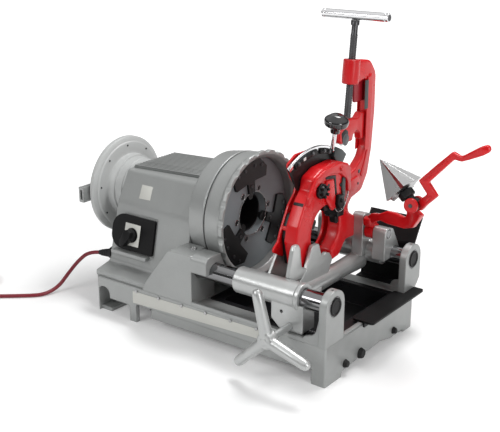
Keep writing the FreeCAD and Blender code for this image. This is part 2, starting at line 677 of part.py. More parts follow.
def switch_parts():
    frame = switch_frame()
    face = plate("switch_face", "y", "-7", "7", [
        ("-72", "-43", "38"), ("72", "-43", "4"), ("70", "46", "4"), ("-72", "46", "38")])
    dial = box("switch_dial", "-26", "-8.5", "-30", "52", "2", "56")
    base = rod("switch_boss", "y", "-11", "4", "19", ("0", "-3"))
    whole = fuse("switch_whole", face, dial, base)
    whole.Placement = frame
    node(whole, "switch_plate")
    grip = plate("switch_grip", "y", "-32", "20.7", [
        ("-6", "-26", "5"), ("6", "-26", "5"), ("7", "17", "6"), ("-7", "17", "6")])
    skirt = rod("switch_skirt", "y", "-19", "7.7", "15", ("0", "-3"))
    knob = fuse("switch_knob_whole", grip, skirt)
    knob.Placement = frame
    node(knob, "switch_knob")


# ---------------------------------------------------------------- spindle and chucks
def spindle_tube():
    node(turned("spindle_tube_solid", "x", [
        ("rear_wheel_back-1", "bore_radius", "0"), ("face_back", "bore_radius", "1"),
        ("face_back", "spindle_radius", "0"), ("rear_wheel_back-1", "spindle_radius", "0")],
        SPINDLE), "spindle_tube")
    node(gear("ring_gear_solid", "gear_start", "gear_wide", "gear_module", "gear_teeth", SPINDLE,
              "spindle_radius", -value("motor_lean")), "ring_gear")


def chuck_body():
    """Face plate on the spindle's nose, with three guides that the jaws slide in."""
    disc = turned("face_disc", "x", [
        ("face_back", "bore_radius+2", "0"), ("face_front", "mouth_radius", "0"),
        ("face_front", "wheel_inner-seat_gap", "1.5"), ("face_back", "wheel_inner-seat_gap", "1.5")],
        SPINDLE)
    hub = tube("face_hub_ring", "x", "wheel_back-2", "face_back-wheel_back+3", "face_hub-run_fit",
               "spindle_radius", SPINDLE)
    slots, covers, jaws = [], [], []
    for number in range(3):
        turn = value("chuck_turn") + 120 * number - 90
        slot = box("jaw_slot_block_%d" % number, "face_front-jaw_thick-seat_gap",
                   "-1*jaw_wide/2-seat_gap", "spindle_height+mouth_radius-8",
                   "jaw_thick+seat_gap+1", "jaw_wide+2*seat_gap", "jaw_outer+12-mouth_radius+8")
        cover = plate("jaw_cover_flat_%d" % number, "x", "face_front", "cover_plate", [
            ("-11", "spindle_height+55", "2"), ("-13", "spindle_height+84", "4"),
            ("-60", "spindle_height+80", "3"), ("-66", "spindle_height+104", "3"),
            ("-40", "spindle_height+134", "3"), ("40", "spindle_height+134", "3"),
            ("66", "spindle_height+104", "3"), ("60", "spindle_height+80", "3"),
            ("13", "spindle_height+84", "4"), ("11", "spindle_height+55", "2")])
        jaw = plate("jaw_flat_%d" % number, "x", "face_front-jaw_thick", "jaw_thick-seat_gap", [
            ("-1*jaw_wide/2", "spindle_height+jaw_tip+12", "0"), ("-6", "spindle_height+jaw_tip", "2"),
            ("6", "spindle_height+jaw_tip", "2"), ("jaw_wide/2", "spindle_height+jaw_tip+12", "0"),
            ("jaw_wide/2", "spindle_height+jaw_outer", "3"),
            ("-1*jaw_wide/2", "spindle_height+jaw_outer", "3")])
        doc.recompute()
        slots.append(turned_copy(slot, "jaw_slot_%d" % number, "x", turn, SPINDLE))
        covers.append(turned_copy(cover, "jaw_cover_%d" % number, "x", turn, SPINDLE))
        jaws.append(turned_copy(jaw, "jaw_solid_%d" % number, "x", turn, SPINDLE))
    node(cut("chuck_body_solid", fuse("face_whole", disc, hub), *slots), "chuck_body")
    node(fuse("jaw_covers_solid", *covers), "jaw_covers")
    for number, jaw in enumerate(jaws, 1):
        node(jaw, "jaw_%d" % number)


def chuck_wheel():
    """Hammer wheel round the face plate: a deep rim with a scalloped front edge."""
    rim = turned("wheel_rim", "x", [
        ("wheel_back", "face_hub", "0"), ("wheel_back", "wheel_small-2", "2"),
        ("wheel_back+6", "wheel_small", "3"), ("wheel_front-16", "wheel_small+4", "10"),
        ("wheel_front-10", "wheel_big", "4"), ("wheel_front", "wheel_big", "3"),
        ("wheel_front", "wheel_big-9", "3"), ("wheel_front-12", "wheel_inner", "4"),
        ("wheel_back+wheel_web", "wheel_inner", "2"), ("wheel_back+wheel_web", "face_hub", "0")],
        SPINDLE)
    bites = []
    count = int(value("scallops"))
    for number in range(count):
        angle = 360 / count * (number + 0.5)
        bites.append(rod("scallop_%d" % number, "x", "wheel_front-15", "20", "14",
                         ("(wheel_big+8)*cos(%f)" % angle,
                          "spindle_height+(wheel_big+8)*sin(%f)" % angle)))
    node(cut("chuck_wheel_solid", rim, *bites), "chuck_wheel")


def rear_chuck():
    """Rear centring chuck: hand wheel with a wide neck, and three short jaws behind it."""
    back = "rear_wheel_back"
    node(turned("rear_wheel_solid", "x", [
        ("-1*base_half-2", "spindle_radius+run_fit", "0"), ("-1*base_half-2", "rear_hub", "1"),
        (back + "+34", "rear_neck", "30"), (back + "+14", "rear_wheel_radius-14", "10"),
        (back + "+16", "rear_wheel_radius-3", "3"), (back + "+10", "rear_wheel_radius", "3"),
        (back + "+4", "rear_wheel_radius", "2"), (back, "rear_wheel_radius-6", "3"),
        (back, "spindle_radius+run_fit", "0")], SPINDLE), "rear_wheel")
    disc = turned("rear_disc", "x", [
        ("-20", "bore_radius+0.5", "2"), ("-1", "bore_radius+0.5", "0"), ("-1", "100", "3"),
        ("-20", "96", "5")], SPINDLE, back)
    lug = box("rear_lug", back + "-18", "-149", "spindle_height-20", "16", "60", "40")
    lug_hole = box("rear_lug_hole", back + "-14", "-150", "spindle_height-13", "8", "22", "26")
    slots, jaws = [], []
    for number in range(3):
        turn = 90 + 120 * number - 90
        slot = box("rear_slot_block_%d" % number, back + "-12-seat_gap",
                   "-1*rear_jaw_wide/2-seat_gap", "spindle_height+spindle_radius-12",
                   "8+2*seat_gap", "rear_jaw_wide+2*seat_gap", "rear_jaw_outer+14-spindle_radius")
        jaw = box("rear_jaw_block_%d" % number, back + "-12", "-1*rear_jaw_wide/2",
                  "spindle_height+rear_jaw_tip", "8", "rear_jaw_wide",
                  "rear_jaw_outer-rear_jaw_tip-6")
        doc.recompute()
        slots.append(turned_copy(slot, "rear_slot_%d" % number, "x", turn, SPINDLE))
        jaws.append(turned_copy(jaw, "rear_jaw_solid_%d" % number, "x", turn, SPINDLE))
    node(cut("rear_plate_solid", fuse("rear_plate_whole", disc, lug), lug_hole, *slots),
         "rear_chuck_plate")
    for number, jaw in enumerate(jaws, 1):
        node(jaw, "rear_jaw_%d" % number)


# ---------------------------------------------------------------- carriage
def carriage_casting():
    front = turned("front_sleeve", "x", [
        ("sleeve_start", "rail_radius+run_fit", "1"), ("sleeve_end", "rail_radius+run_fit", "1"),
        ("sleeve_end", "sleeve_radius+2", "2"), ("sleeve_end-9", "sleeve_radius+2", "2"),
        ("sleeve_end-12", "sleeve_radius", "0"), ("sleeve_start", "sleeve_radius", "3")],
        FRONT_RAIL)
    rear = turned("rear_sleeve", "x", [
        ("sleeve_start", "rail_radius+run_fit", "1"), ("sleeve_end", "rail_radius+run_fit", "1"),
        ("sleeve_end", "sleeve_radius", "3"), ("sleeve_start", "sleeve_radius", "3")], REAR_RAIL)
    beam = turned("cross_beam", "y", [
        ("-1*rail_y+rail_radius+3", "0", "0"), ("rail_y-rail_radius-3", "0", "0"),
        ("rail_y-rail_radius-3", "beam_radius+3", "0"), ("60", "beam_radius", "40"),
        ("-40", "beam_radius+2", "40"), ("-1*rail_y+rail_radius+3", "beam_radius+7", "0")],
        ("beam_x", "beam_z"))
    lug_a = plate("saddle_lug_a", "x", "150", "plate_start-150-seat_gap", [
        ("-158", "188", "4"), ("-117", "244", "8"), ("-82", "217", "12"), ("-64", "246", "6"),
        ("-42", "245", "6"), ("-33", "230", "6"), ("-24", "192", "6"), ("-60", "150", "8"),
        ("-160", "160", "6")])
    lug_b = plate("saddle_lug_b", "x", "215.3", "9", [
        ("-150", "172", "8"), ("-102", "208", "10"), ("-78", "262", "8"), ("-52", "261", "8"),
        ("-37", "221", "12"), ("-20", "229", "6"), ("-5", "224", "6"), ("8", "206", "8"),
        ("-21", "150", "6"), ("-150", "140", "6")])
    saddle = plate("saddle_floor", "x", "150", "74", [
        ("-168", "148", "6"), ("-172", "196", "6"), ("-150", "196", "8"), ("-100", "176", "20"),
        ("-30", "166", "10"), ("-30", "146", "6")])
    bosses = []
    for number, (start, wide, high) in enumerate((("106", "16", "4"), ("205", "30", "26"),
                                                  ("263", "34", "0"))):
        bosses.append(plate("tool_boss_%d" % number, "x", start, wide, [
            ("tool_y-boss_radius", "rail_z-4", "0"),
            ("tool_y-boss_radius", "tool_z+boss_radius+%s" % high, "12"),
            ("tool_y+boss_radius", "tool_z+boss_radius+%s-8" % high, "14"),
            ("rail_y+sleeve_radius-6", "rail_z+12", "10"), ("rail_y+14", "rail_z-4", "0")]))
    apron = plate("apron", "y", "-1*base_front+8", "46", [
        ("apron_start", "rail_z-10", "0"), ("apron_start", "126", "6"), ("224", "apron_low", "6"),
        ("apron_end", "apron_low", "5"), ("apron_end", "rail_z-10", "0")])
    gusset = plate("saddle_gusset", "z", "146", "10", [
        ("150", "-158", "0"), ("150", "-110", "20"), ("beam_x-14", "-30", "20"),
        ("beam_x+14", "-30", "20"), ("262", "-110", "30"), ("262", "-158", "0")])
    whole = fuse("carriage_whole", front, rear, beam, lug_a, lug_b, saddle, apron, gusset, *bosses)
    cuts = [rod("carriage_front_bore", "x", "60", "260", "rail_radius+run_fit", FRONT_RAIL),
            rod("carriage_rear_bore", "x", "60", "260", "rail_radius+run_fit", REAR_RAIL),
            rod("carriage_tool_bore", "x", "60", "300", "tool_radius+seat_gap", TOOL),
            rod("carriage_feed_bore", "y", "-230", "100", "feed_radius+run_fit",
                ("feed_x", "feed_z")),
            rod("carriage_pinion_room", "y", "-1*rail_y-11", "16", "16.5", ("feed_x", "feed_z")),
            box("carriage_rack_room", "190", "-1*rail_y-11", "100", "105", "16", "8"),
            rod("carriage_oil_hole", "y", "-230", "40", "4", ("227", "147"))]
    node(cut("carriage_solid", whole, *cuts), "carriage_casting")
    node(turned("tool_shaft_solid", "x", [
        ("tool_start", "0", "0"), ("tool_end", "0", "0"), ("tool_end", "tool_radius", "1.5"),
        ("tool_start", "tool_radius", "1.5")], TOOL), "tool_shaft")


def feed_wheel():
    """Three-spoke hand wheel that walks the carriage along the rack."""
    centre = ("feed_x", "feed_z")
    hub = turned("feed_hub", "y", [
        ("feed_hub_y", "feed_radius", "0"), ("feed_hub_y", "13", "3"),
        ("feed_hub_y+6", "17", "4"), ("feed_hub_y+22", "19", "4"), ("feed_hub_y+27", "15", "3"),
        ("feed_hub_y+27", "feed_radius", "0")], centre)
    spokes = []
    middle = value("feed_hub_y") + 13
    for number in range(3):
        angle = math.radians(value("feed_turn") + 120 * number)
        reach = value("feed_reach - spoke_radius")
        tip = (value("feed_x") + reach * math.cos(angle), middle - 2,
               value("feed_z") + reach * math.sin(angle))
        root = (value("feed_x") + 10 * math.cos(angle), middle,
                value("feed_z") + 10 * math.sin(angle))
        spokes.append(strut("spoke_%d" % number, root, tip, value("spoke_radius") - 2,
                            value("spoke_radius")))
        end = doc.addObject("Part::Sphere", "spoke_end_%d" % number)
        end.Placement = FreeCAD.Placement(FreeCAD.Vector(*tip), FreeCAD.Rotation())
        bind(end, Radius="spoke_radius")
        spokes.append(end)
    room = rod("feed_wheel_bore", "y", "feed_hub_y-1", "40", "feed_radius", centre)
    node(cut("feed_wheel_solid", fuse("feed_wheel_whole", hub, *spokes), room), "feed_wheel")
    shaft = turned("feed_shaft_bar", "y", [
        ("feed_hub_y+1", "0", "0"), ("-1*base_front+54", "0", "0"),
        ("-1*base_front+54", "feed_radius", "1"), ("feed_hub_y+1", "feed_radius", "1")], centre)
    pinion = gear("feed_pinion", "-1*rail_y-9.5", "13", "feed_module", "feed_teeth", centre, "0",
                  90.0 + 180 / value("feed_teeth"), "y")
    node(fuse("feed_shaft_solid", shaft, pinion), "feed_shaft")


# ---------------------------------------------------------------- die head
def die_head():
    outline = [
        ("-122", "276", "6"), ("-114", "312", "20"), ("-86", "362", "16"), ("-64", "384", "8"),
        ("-58", "412", "14"), ("-20", "427", "30"), ("50", "431", "40"), ("100", "414", "14"),
        ("102", "350", "30"), ("98", "296", "20"), ("tool_y+4", "tool_z+head_hub_radius", "6"),
        ("tool_y+head_hub_radius", "tool_z+4", "12"),
        ("tool_y+6", "tool_z-head_hub_radius+2", "12"), ("92", "226", "16"), ("62", "194", "10"),
        ("30", "190", "6"), ("24", "222", "0"), ("0", "spindle_height-10", "0"),
        ("-60", "254", "0"), ("-68", "198", "6"), ("-104", "198", "8"), ("-112", "236", "14")]
    body = plate("head_flat", "x", "head_start", "head_thick", outline)
    hub = rod("head_hub", "x", "head_hub_start", "head_hub_end-head_hub_start", "head_hub_radius",
              TOOL)
    mouth = rod("head_mouth_hole", "x", "head_start-30", "head_thick+60", "head_mouth", SPINDLE)
    bore = rod("head_bore", "x", "head_hub_start-10", "80", "tool_radius+run_fit", TOOL)
    trim = rod("head_hub_trim", "x", "head_hub_end", "20", "54", TOOL)
    slots, dies = [], []
    for number, angle in enumerate((15, 84, 150, 208)):
        die = plate("die_flat_%d" % number, "x", "head_start+head_thick-die_thick-4", "die_thick", [
            ("-1*die_wide/2", "spindle_height+die_tip+4", "0"), ("-7", "spindle_height+die_tip", "0"),
            ("7", "spindle_height+die_tip", "0"), ("die_wide/2", "spindle_height+die_tip+4", "0"),
            ("die_wide/2", "spindle_height+die_tip+die_long", "0"),
            ("-1*die_wide/2", "spindle_height+die_tip+die_long", "0")])
        slot = box("die_slot_block_%d" % number, "head_start+head_thick-die_thick-4-seat_gap",
                   "-1*die_wide/2-seat_gap", "spindle_height+die_tip-4",
                   "die_thick+2*seat_gap", "die_wide+2*seat_gap", "die_long+18")
        doc.recompute()
        dies.append(turned_copy(die, "die_solid_%d" % number, "x", angle - 90, SPINDLE))
        slots.append(turned_copy(slot, "die_slot_%d" % number, "x", angle - 90, SPINDLE))
    node(cut("head_solid", fuse("head_whole", body, hub), mouth, bore, trim, *slots),
         "die_head_frame")
    back = plate("head_back_flat", "x", "plate_start", "plate_thick", [
        ("-124", "272", "4"), ("-114", "296", "20"), ("-84", "350", "20"), ("-62", "371", "6"),
        ("-55", "388", "6"), ("-76", "410", "6"), ("-92", "444", "6"), ("-60", "462", "20"),
        ("60", "462", "30"), ("104", "420", "20"), ("104", "310", "20"),
        ("tool_y+2", "tool_z+20", "8"), ("tool_y+18", "tool_z", "8"), ("tool_y", "tool_z-20", "8"),
        ("60", "200", "10"), ("30", "204", "4"), ("20", "236", "0"), ("0", "spindle_height-8", "0"),
        ("-60", "262", "0"), ("-74", "246", "6"), ("-106", "231", "6"), ("-148", "254", "7")])
    back_mouth = rod("head_back_hole", "x", "plate_start-10", "30", "head_mouth+3", SPINDLE)
    back_bore = rod("head_back_bore", "x", "plate_start-10", "30", "head_hub_radius+seat_gap", TOOL)
    spacers = []
    for number, (across, up) in enumerate((("-104", "300"), ("-100", "262"), ("94", "300"))):
        spacers.append(rod("head_spacer_%d" % number, "x", "plate_start+plate_thick",
                           "head_start-plate_start-plate_thick", "6", (across, up)))
    node(fuse("head_back_solid", cut("head_back_cut", back, back_mouth, back_bore), *spacers),
         "die_head_plate")
    for number, die in enumerate(dies, 1):
        node(die, "die_%d" % number)
    centre = ("-29", "378")
    node(turned("lock_knob_solid", "x", [
        ("0", "0", "0"), ("14", "0", "0"), ("14", "11", "3"), ("8", "14", "2"), ("7", "18", "2"),
        ("0", "18", "1")], centre, "head_start+head_thick+seat_gap"), "lock_knob")


def cam_plate():
    """Sector that opens and closes the dies, with its lever and ball grip."""
    sector = ring_sector("cam_sector", "cam_start", "cam_thick", "cam_inner", "cam_outer", 52, 122,
                         SPINDLE)
    stem = strut("cam_stem", (value("lever_x"), 80, 440), (value("lever_x + 8.5"), 76, 488), 6)
    node(fuse("cam_solid", sector, stem), "cam_plate")
    knob = turned("lever_knob_body", "z", [
        ("0", "0", "0"), ("0", "11", "2"), ("12", "13", "8"), ("20", "knob_radius-2", "6"),
        ("34", "knob_radius", "9"), ("46", "14", "10"), ("48", "0", "0")])
    stem_way = FreeCAD.Vector(8.5, -4, 48)
    turn_to(knob, (value("lever_x + 8.55"), 75.98, 488.3),
            FreeCAD.Rotation(FreeCAD.Vector(0, 0, 1), stem_way))
    node(knob, "lever_knob")


# ---------------------------------------------------------------- cutter
def cutter_axis(distance):
    """A point on the leaning screw's axis, counted upwards from its lower end."""
    lean = math.radians(value("screw_lean"))
    middle = value("cutter_start + cutter_thick / 2")
    return (middle, value("screw_y") + distance * math.sin(lean),
            value("screw_z") + distance * math.cos(lean))


def cutter():
    x, wide = "cutter_start", "cutter_thick"
    frame = plate("cutter_flat", "x", x, wide, [
        ("186", "640", "8"), ("232", "634", "6"), ("284", "630", "26"), ("314", "596", "34"),
        ("315", "500", "80"), ("306", "402", "80"), ("292", "336", "36"), ("264", "300", "18"),
        ("240", "288", "8"), ("226", "244", "16"),
        ("tool_y+4", "tool_z-22", "6"), ("tool_y-24", "tool_z-4", "14"),
        ("tool_y-4", "tool_z+23", "8"), ("210", "262", "16"), ("214", "308", "8"),
        ("188", "312", "8"), ("176", "330", "8"), ("180", "348", "6"), ("232", "364", "16"),
        ("266", "390", "20"), ("272", "500", "20"), ("270", "580", "16"), ("236", "578", "6"),
        ("180", "584", "6")])
    nut = rod("cutter_nut", "z", "0", "60", "20", ("0", "0"))
    lean = FreeCAD.Rotation(FreeCAD.Vector(1, 0, 0), -value("screw_lean"))
    turn_to(nut, cutter_axis(84), lean)
    screw_room = strut("cutter_screw_room", cutter_axis(60), cutter_axis(180),
                       value("screw_radius + run_fit"))
    hub_bore = rod("cutter_bore", "x", "cutter_start-5", "60", "tool_radius+run_fit", TOOL)
    roller_rooms, axles = [], []
    for name, pair in (("1", ("192", "334")), ("2", ("246", "352"))):
        roller_rooms.append(rod("roller_room_" + name, "x", "cutter_start+4", "cutter_thick-8",
                                "roller_radius+1", pair))
        axles.append(rod("roller_axle_" + name, "x", "cutter_start+1", "cutter_thick-2", "4", pair))
        node(tube("roller_solid_" + name, "x", "cutter_start+4.5", "cutter_thick-9",
                  "roller_radius", "4+run_fit", pair), "roller_" + name)
    body = cut("cutter_cut", fuse("cutter_whole", frame, nut), screw_room, hub_bore, *roller_rooms)
    node(fuse("cutter_solid", body, *axles), "cutter_frame")
    guides = []
    for number, side in enumerate(("cutter_start-3.3", "cutter_start+cutter_thick+0.3")):
        guides.append(plate("guide_%d" % number, "x", side, "3", [
            ("266", "402", "0"), ("282", "404", "0"), ("286", "590", "0"), ("270", "590", "0")]))
    node(fuse("guides_solid", *guides), "cutter_guides")
    slider = plate("slider_flat", "x", "cutter_start+2", "cutter_thick-4", [
        ("150", "478", "6"), ("166", "500.2", "6"), ("270.6", "489.6", "4"), ("267", "424", "6"),
        ("250", "404", "6"), ("222", "412", "8"), ("206", "440", "8"), ("150", "440", "6")])
    slot = box("slider_slot", "cutter_start+8", "140", "400", "cutter_thick-16", "68", "76")
    axle = rod("cut_wheel_axle", "x", "cutter_start+3", "cutter_thick-6", "4", ("178", "452"))
    node(fuse("slider_solid", cut("slider_cut", slider, slot), axle), "cutter_slider")
    node(turned("cut_wheel_solid", "x", [
        ("0", "4+run_fit", "0"), ("0", "8", "0"), ("3", "8", "0"), ("3.4", "wheel_cut", "0"),
        ("3.7", "wheel_cut", "0"), ("4.1", "8", "0"), ("7", "8", "0"), ("7", "4+run_fit", "0")],
        ("178", "452"), "cutter_start+8"), "cutter_wheel")
    screw = strut("screw_bar", cutter_axis(0.3), cutter_axis(236), value("screw_radius"))
    node(screw, "cutter_screw")
    top = cutter_axis(236.3)
    bar = rod("t_bar_solid", "x", "0", "2*bar_half", "bar_radius", ("0", "0"))
    turn_to(bar, (top[0] - value("bar_half"), top[1], top[2] + value("bar_radius")), ALONG["x"])
    node(bar, "t_bar")


# ---------------------------------------------------------------- reamer
def reamer():
    pivot = FreeCAD.Vector(*spot("pivot_x", "pivot_y", "pivot_z"))
    way = FreeCAD.Vector(-0.74, 0.05, 0.68).normalize()
    hub = rod("reamer_hub", "x", "arm_start", "arm_thick", "boss_radius", TOOL)
    points = [spot("arm_start + arm_thick / 2", "tool_y - 6", "tool_z + 12"), (251, 128, 285),
              (318, 118, 292), (384, 98, 298), (400, 74, 326)]
    pieces = [hub]
    for number in range(4):
        pieces.append(strut("reamer_arm_%d" % number, points[number], points[number + 1], 10))
        pieces.append(ball("reamer_joint_%d" % number, "10", *points[number + 1]))
    crank = [(418, 62, 352), (449, 55, 391), (425, 55, 420), (462, 55, 459), (491, 55, 488),
             (512, 55, 485), (561, 55, 512)]
    for number in range(6):
        thick = 10 if number < 4 else 12
        pieces.append(strut("crank_%d" % number, crank[number], crank[number + 1], thick))
        pieces.append(ball("crank_joint_%d" % number, str(thick), *crank[number + 1]))
    cheek = doc.addObject("Part::Feature", "reamer_cheeks")
    across = FreeCAD.Vector(0, -0.997, 0.073)
    cheeks = []
    for side in (-1, 1):
        middle = pivot + across * (side * 16)
        cheeks.append(Part.makeCylinder(17, 8, middle - across * 4, across))
    cheek.Shape = cheeks[0].fuse(cheeks[1])
    bridge = strut("reamer_bridge", (400, 74, 326), (420, 66, 352), 9)
    pieces += [cheek, bridge]
    bore = rod("reamer_bore", "x", "arm_start-5", "60", "tool_radius+run_fit", TOOL)
    tongue_room = strut("reamer_room", tuple(pivot + across * 12), tuple(pivot - across * 12), 19)
    pin_bar = strut("reamer_pin", tuple(pivot + across * 19), tuple(pivot - across * 19), 5)
    body = cut("reamer_cut", fuse("reamer_whole", *pieces), bore, tongue_room)
    node(fuse("reamer_solid", body, pin_bar), "reamer_arm")
    collar = doc.addObject("Part::Feature", "reamer_collar_solid")
    eye = Part.makeCylinder(14, 20, pivot - across * 10, across)
    neck = Part.makeCylinder(11.4, value("cone_back") - 0.3, pivot, way)
    pin_room = Part.makeCylinder(value("5 + run_fit"), 60, pivot - across * 30, across)
    whole = eye.fuse(neck).cut(pin_room)
    collar.Shape = whole.removeSplitter()
    node(collar, "reamer_collar")
    base = pivot + way * value("cone_back")
    cone_item = doc.addObject("Part::Feature", "reamer_cone_solid")
    cone_item.Shape = Part.makeCone(value("cone_radius"), 2, value("cone_long"), base, way)
    node(cone_item, "reamer_cone")


# ---------------------------------------------------------------- cord
CORD_ROUTE = [
    (-403, -139, 122), (-445.4, -139, 114), (-478, -150, 84), (-501, -167, 48), (-514, -193, 14),
    (-518, -238, 5.6), (-545, -270, 5.4), (-662, -365, 5.5), (-735, -365, 5.5)]


def cord_parts():
    route = [FreeCAD.Vector(*point) for point in CORD_ROUTE]
    edges = []
    last = route[0]
    length = 0
    for number in range(1, len(route) - 1):
        back = route[number] - route[number - 1]
        ahead = route[number + 1] - route[number]
        turn = back.getAngle(ahead)
        radius = 0.45 * min(back.Length, ahead.Length) / math.tan(turn / 2)
        print("cord arc %d radius %.0f turn %.0f" % (number, radius, math.degrees(turn)))
        first, middle, end, centre = tangent_arc(route[number - 1], route[number],
                                                 route[number + 1], radius)
        edges.append(Part.LineSegment(last, first).toShape())
        edges.append(Part.Arc(first, middle, end).toShape())
        length += (first - last).Length + radius * turn
        last = end
    edges.append(Part.LineSegment(last, route[-1]).toShape())
    length += (route[-1] - last).Length
    path = Part.Wire(edges)
    ring = Part.Wire(Part.makeCircle(value("cord_radius"), route[0], route[1] - route[0]))
    shape = path.makePipeShell([ring], True, False)
    print("cord length %.0f volume ratio %.4f" % (
        length, shape.Volume / (length * math.pi * value("cord_radius") ** 2)))
    item = doc.addObject("Part::Feature", "power_cord_solid")
    item.Shape = shape
    node(item, "power_cord")
    relief_start = FreeCAD.Vector(value("-1*base_half"), value("gland_y"), value("gland_z"))
    end = route[0]
    way = (end - relief_start).normalize()
    nut = Part.makeCylinder(value("gland_radius + 4"), 9, relief_start, FreeCAD.Vector(-1, 0, 0))
    taper = Part.makeCone(value("gland_radius"), value("cord_radius + 1.5"),
                          (end - relief_start).Length, relief_start, way)
    wall = Part.makeBox(40, 80, 80, relief_start + FreeCAD.Vector(0, -40, -40))
    sleeve = nut.fuse(taper).cut(wall)
    gland = doc.addObject("Part::Feature", "gland_solid")
    gland.Shape = sleeve.removeSplitter()
    node(gland, "strain_relief")
    inner = value("coil_radius - coil_wide / 2")
    outer = value("coil_radius + coil_wide / 2")
    centre = FreeCAD.Vector(value("coil_x"), value("coil_y"), 0)
    coil = Part.makeCylinder(outer, value("coil_high"), centre).cut(
        Part.makeCylinder(inner, value("coil_high"), centre))
    coil = coil.cut(Part.makeBox(60, 16, 40, FreeCAD.Vector(route[-1].x, route[-1].y - 8, -1)))
    plug_lean = math.radians(15)
    way = FreeCAD.Vector(-math.sin(plug_lean), math.cos(plug_lean), 0)
    out = FreeCAD.Vector(-math.cos(plug_lean), -math.sin(plug_lean), 0)
    tail = centre + out * (value("coil_radius") + 10) + way * 26
    plug_room = Part.makeBox(44, 80, 40, FreeCAD.Vector(-20, 0, -1))
    plug_room.rotate(ORIGIN, FreeCAD.Vector(0, 0, 1), math.degrees(plug_lean))
    plug_room.translate(tail)
    coil = coil.cut(plug_room)
    coil_item = doc.addObject("Part::Feature", "coil_solid")
    coil_item.Shape = coil
    node(coil_item, "cord_coil")
    tail.z = 17
    plug = Part.makeCone(7, 12, 34, tail, way).fuse(Part.makeCylinder(17, 52, tail + way * 34, way))
    plug = plug.fuse([Part.makeCylinder(2.4, 19, tail + way * 86 + out * side, way)
                      for side in (-9, 9)])
    plug_item = doc.addObject("Part::Feature", "plug_solid")
    plug_item.Shape = plug.removeSplitter()
    node(plug_item, "plug")


for build in (base_casting, bed_casting, rails, feed_rack, chip_tray, splash_guard, end_plugs,
              gear_housing, top_cover, barrel_ring, bearings, motor_casing, motor_rotor,
              switch_parts, spindle_tube, chuck_body, chuck_wheel, rear_chuck, carriage_casting,
              feed_wheel, die_head, cam_plate, cutter, reamer, cord_parts):
    build()
doc.recompute()

failed = [item.Label for item in doc.Objects if {"Invalid", "Error"} & set(item.State)]
if failed:
    raise RuntimeError("objects that failed: %s" % failed)
for item in nodes:
    if item.Shape.isNull() or not item.Shape.isValid():
        raise RuntimeError("no valid shape: %s" % item.Label)
os.makedirs("parts", exist_ok=True)
for item in nodes:
    item.Shape.exportStep(os.path.join("parts", item.Label + ".step"))
    print("%-20s solids %d volume %9.0f" % (item.Label, len(item.Shape.Solids), item.Shape.Volume))
print("%d nodes" % len(nodes))
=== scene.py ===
import math

import bmesh
import bpy
from mathutils import Matrix, Vector


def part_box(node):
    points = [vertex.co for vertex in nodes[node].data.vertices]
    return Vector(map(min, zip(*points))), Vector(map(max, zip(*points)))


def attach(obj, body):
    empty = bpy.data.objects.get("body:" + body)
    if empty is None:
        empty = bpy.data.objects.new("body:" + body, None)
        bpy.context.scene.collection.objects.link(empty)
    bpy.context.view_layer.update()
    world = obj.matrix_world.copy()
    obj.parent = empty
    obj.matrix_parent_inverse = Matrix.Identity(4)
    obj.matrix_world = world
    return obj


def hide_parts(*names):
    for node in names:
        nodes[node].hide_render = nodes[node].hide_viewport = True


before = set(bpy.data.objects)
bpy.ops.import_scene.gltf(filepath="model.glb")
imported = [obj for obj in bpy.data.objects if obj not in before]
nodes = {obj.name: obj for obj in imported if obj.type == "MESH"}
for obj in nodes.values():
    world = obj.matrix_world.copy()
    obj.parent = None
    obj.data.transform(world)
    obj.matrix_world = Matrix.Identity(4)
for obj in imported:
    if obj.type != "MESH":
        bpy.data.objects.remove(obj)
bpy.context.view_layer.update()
scene = bpy.context.scene

MM = 0.001
# The (y, z) of the spindle's line and of the tool shaft's line, which both run along X.
SPINDLE = (0.0, 0.274)
TOOL = (0.146, 0.242)
# The turns about the spindle, in degrees, of the three jaws and their covers.
JAW_ANGLES = (98, 218, 338)


# ---------------------------------------------------------------- camera and cord
CAMERA_LENS = 67.6
CAMERA_PLACE = (1.3106, -1.7541, 1.0057)
CAMERA_AIM = (-0.012, 0.0, 0.265)


def place_camera():
    """The only camera, turned from its place towards its aim."""
    camera = bpy.data.objects.new("camera", bpy.data.cameras.new("camera"))
    scene.collection.objects.link(camera)
    camera.data.lens = CAMERA_LENS
    camera.location = CAMERA_PLACE
    way = Vector(CAMERA_AIM) - camera.location
    camera.rotation_euler = way.to_track_quat("-Z", "Y").to_euler()
    scene.camera = camera


CORD_WIDTH = 0.010
CORD_ROUTE = [
    (-0.403, -0.139, 0.122), (-0.4454, -0.139, 0.114), (-0.478, -0.150, 0.084),
    (-0.501, -0.167, 0.048), (-0.514, -0.193, 0.014), (-0.518, -0.238, 0.0056),
    (-0.545, -0.270, 0.0054), (-0.662, -0.365, 0.0055), (-0.735, -0.365, 0.0055)]
PLUG_TAIL = (-0.8115, -0.2917, 0.017)
COIL_CENTRE = Vector((-0.742, -0.300, 0.0))
COIL_POINTS = 67
POINTS_A_TURN = 16
COIL_OUTER = 0.0655
COIL_INNER = 0.0449
COIL_PITCH = 0.0103
COIL_SPREAD = 1.02
# The turns at which the coil stops closing in and starts to open out again.
TURNED_IN = 2
TURNED_OUT = 2.25
# The turn at which it starts to climb onto itself, and how much of a turn the climb takes.
CLIMB_FROM = 1.95
CLIMB_TURNS = 0.27
CORD_REST = 0.0054


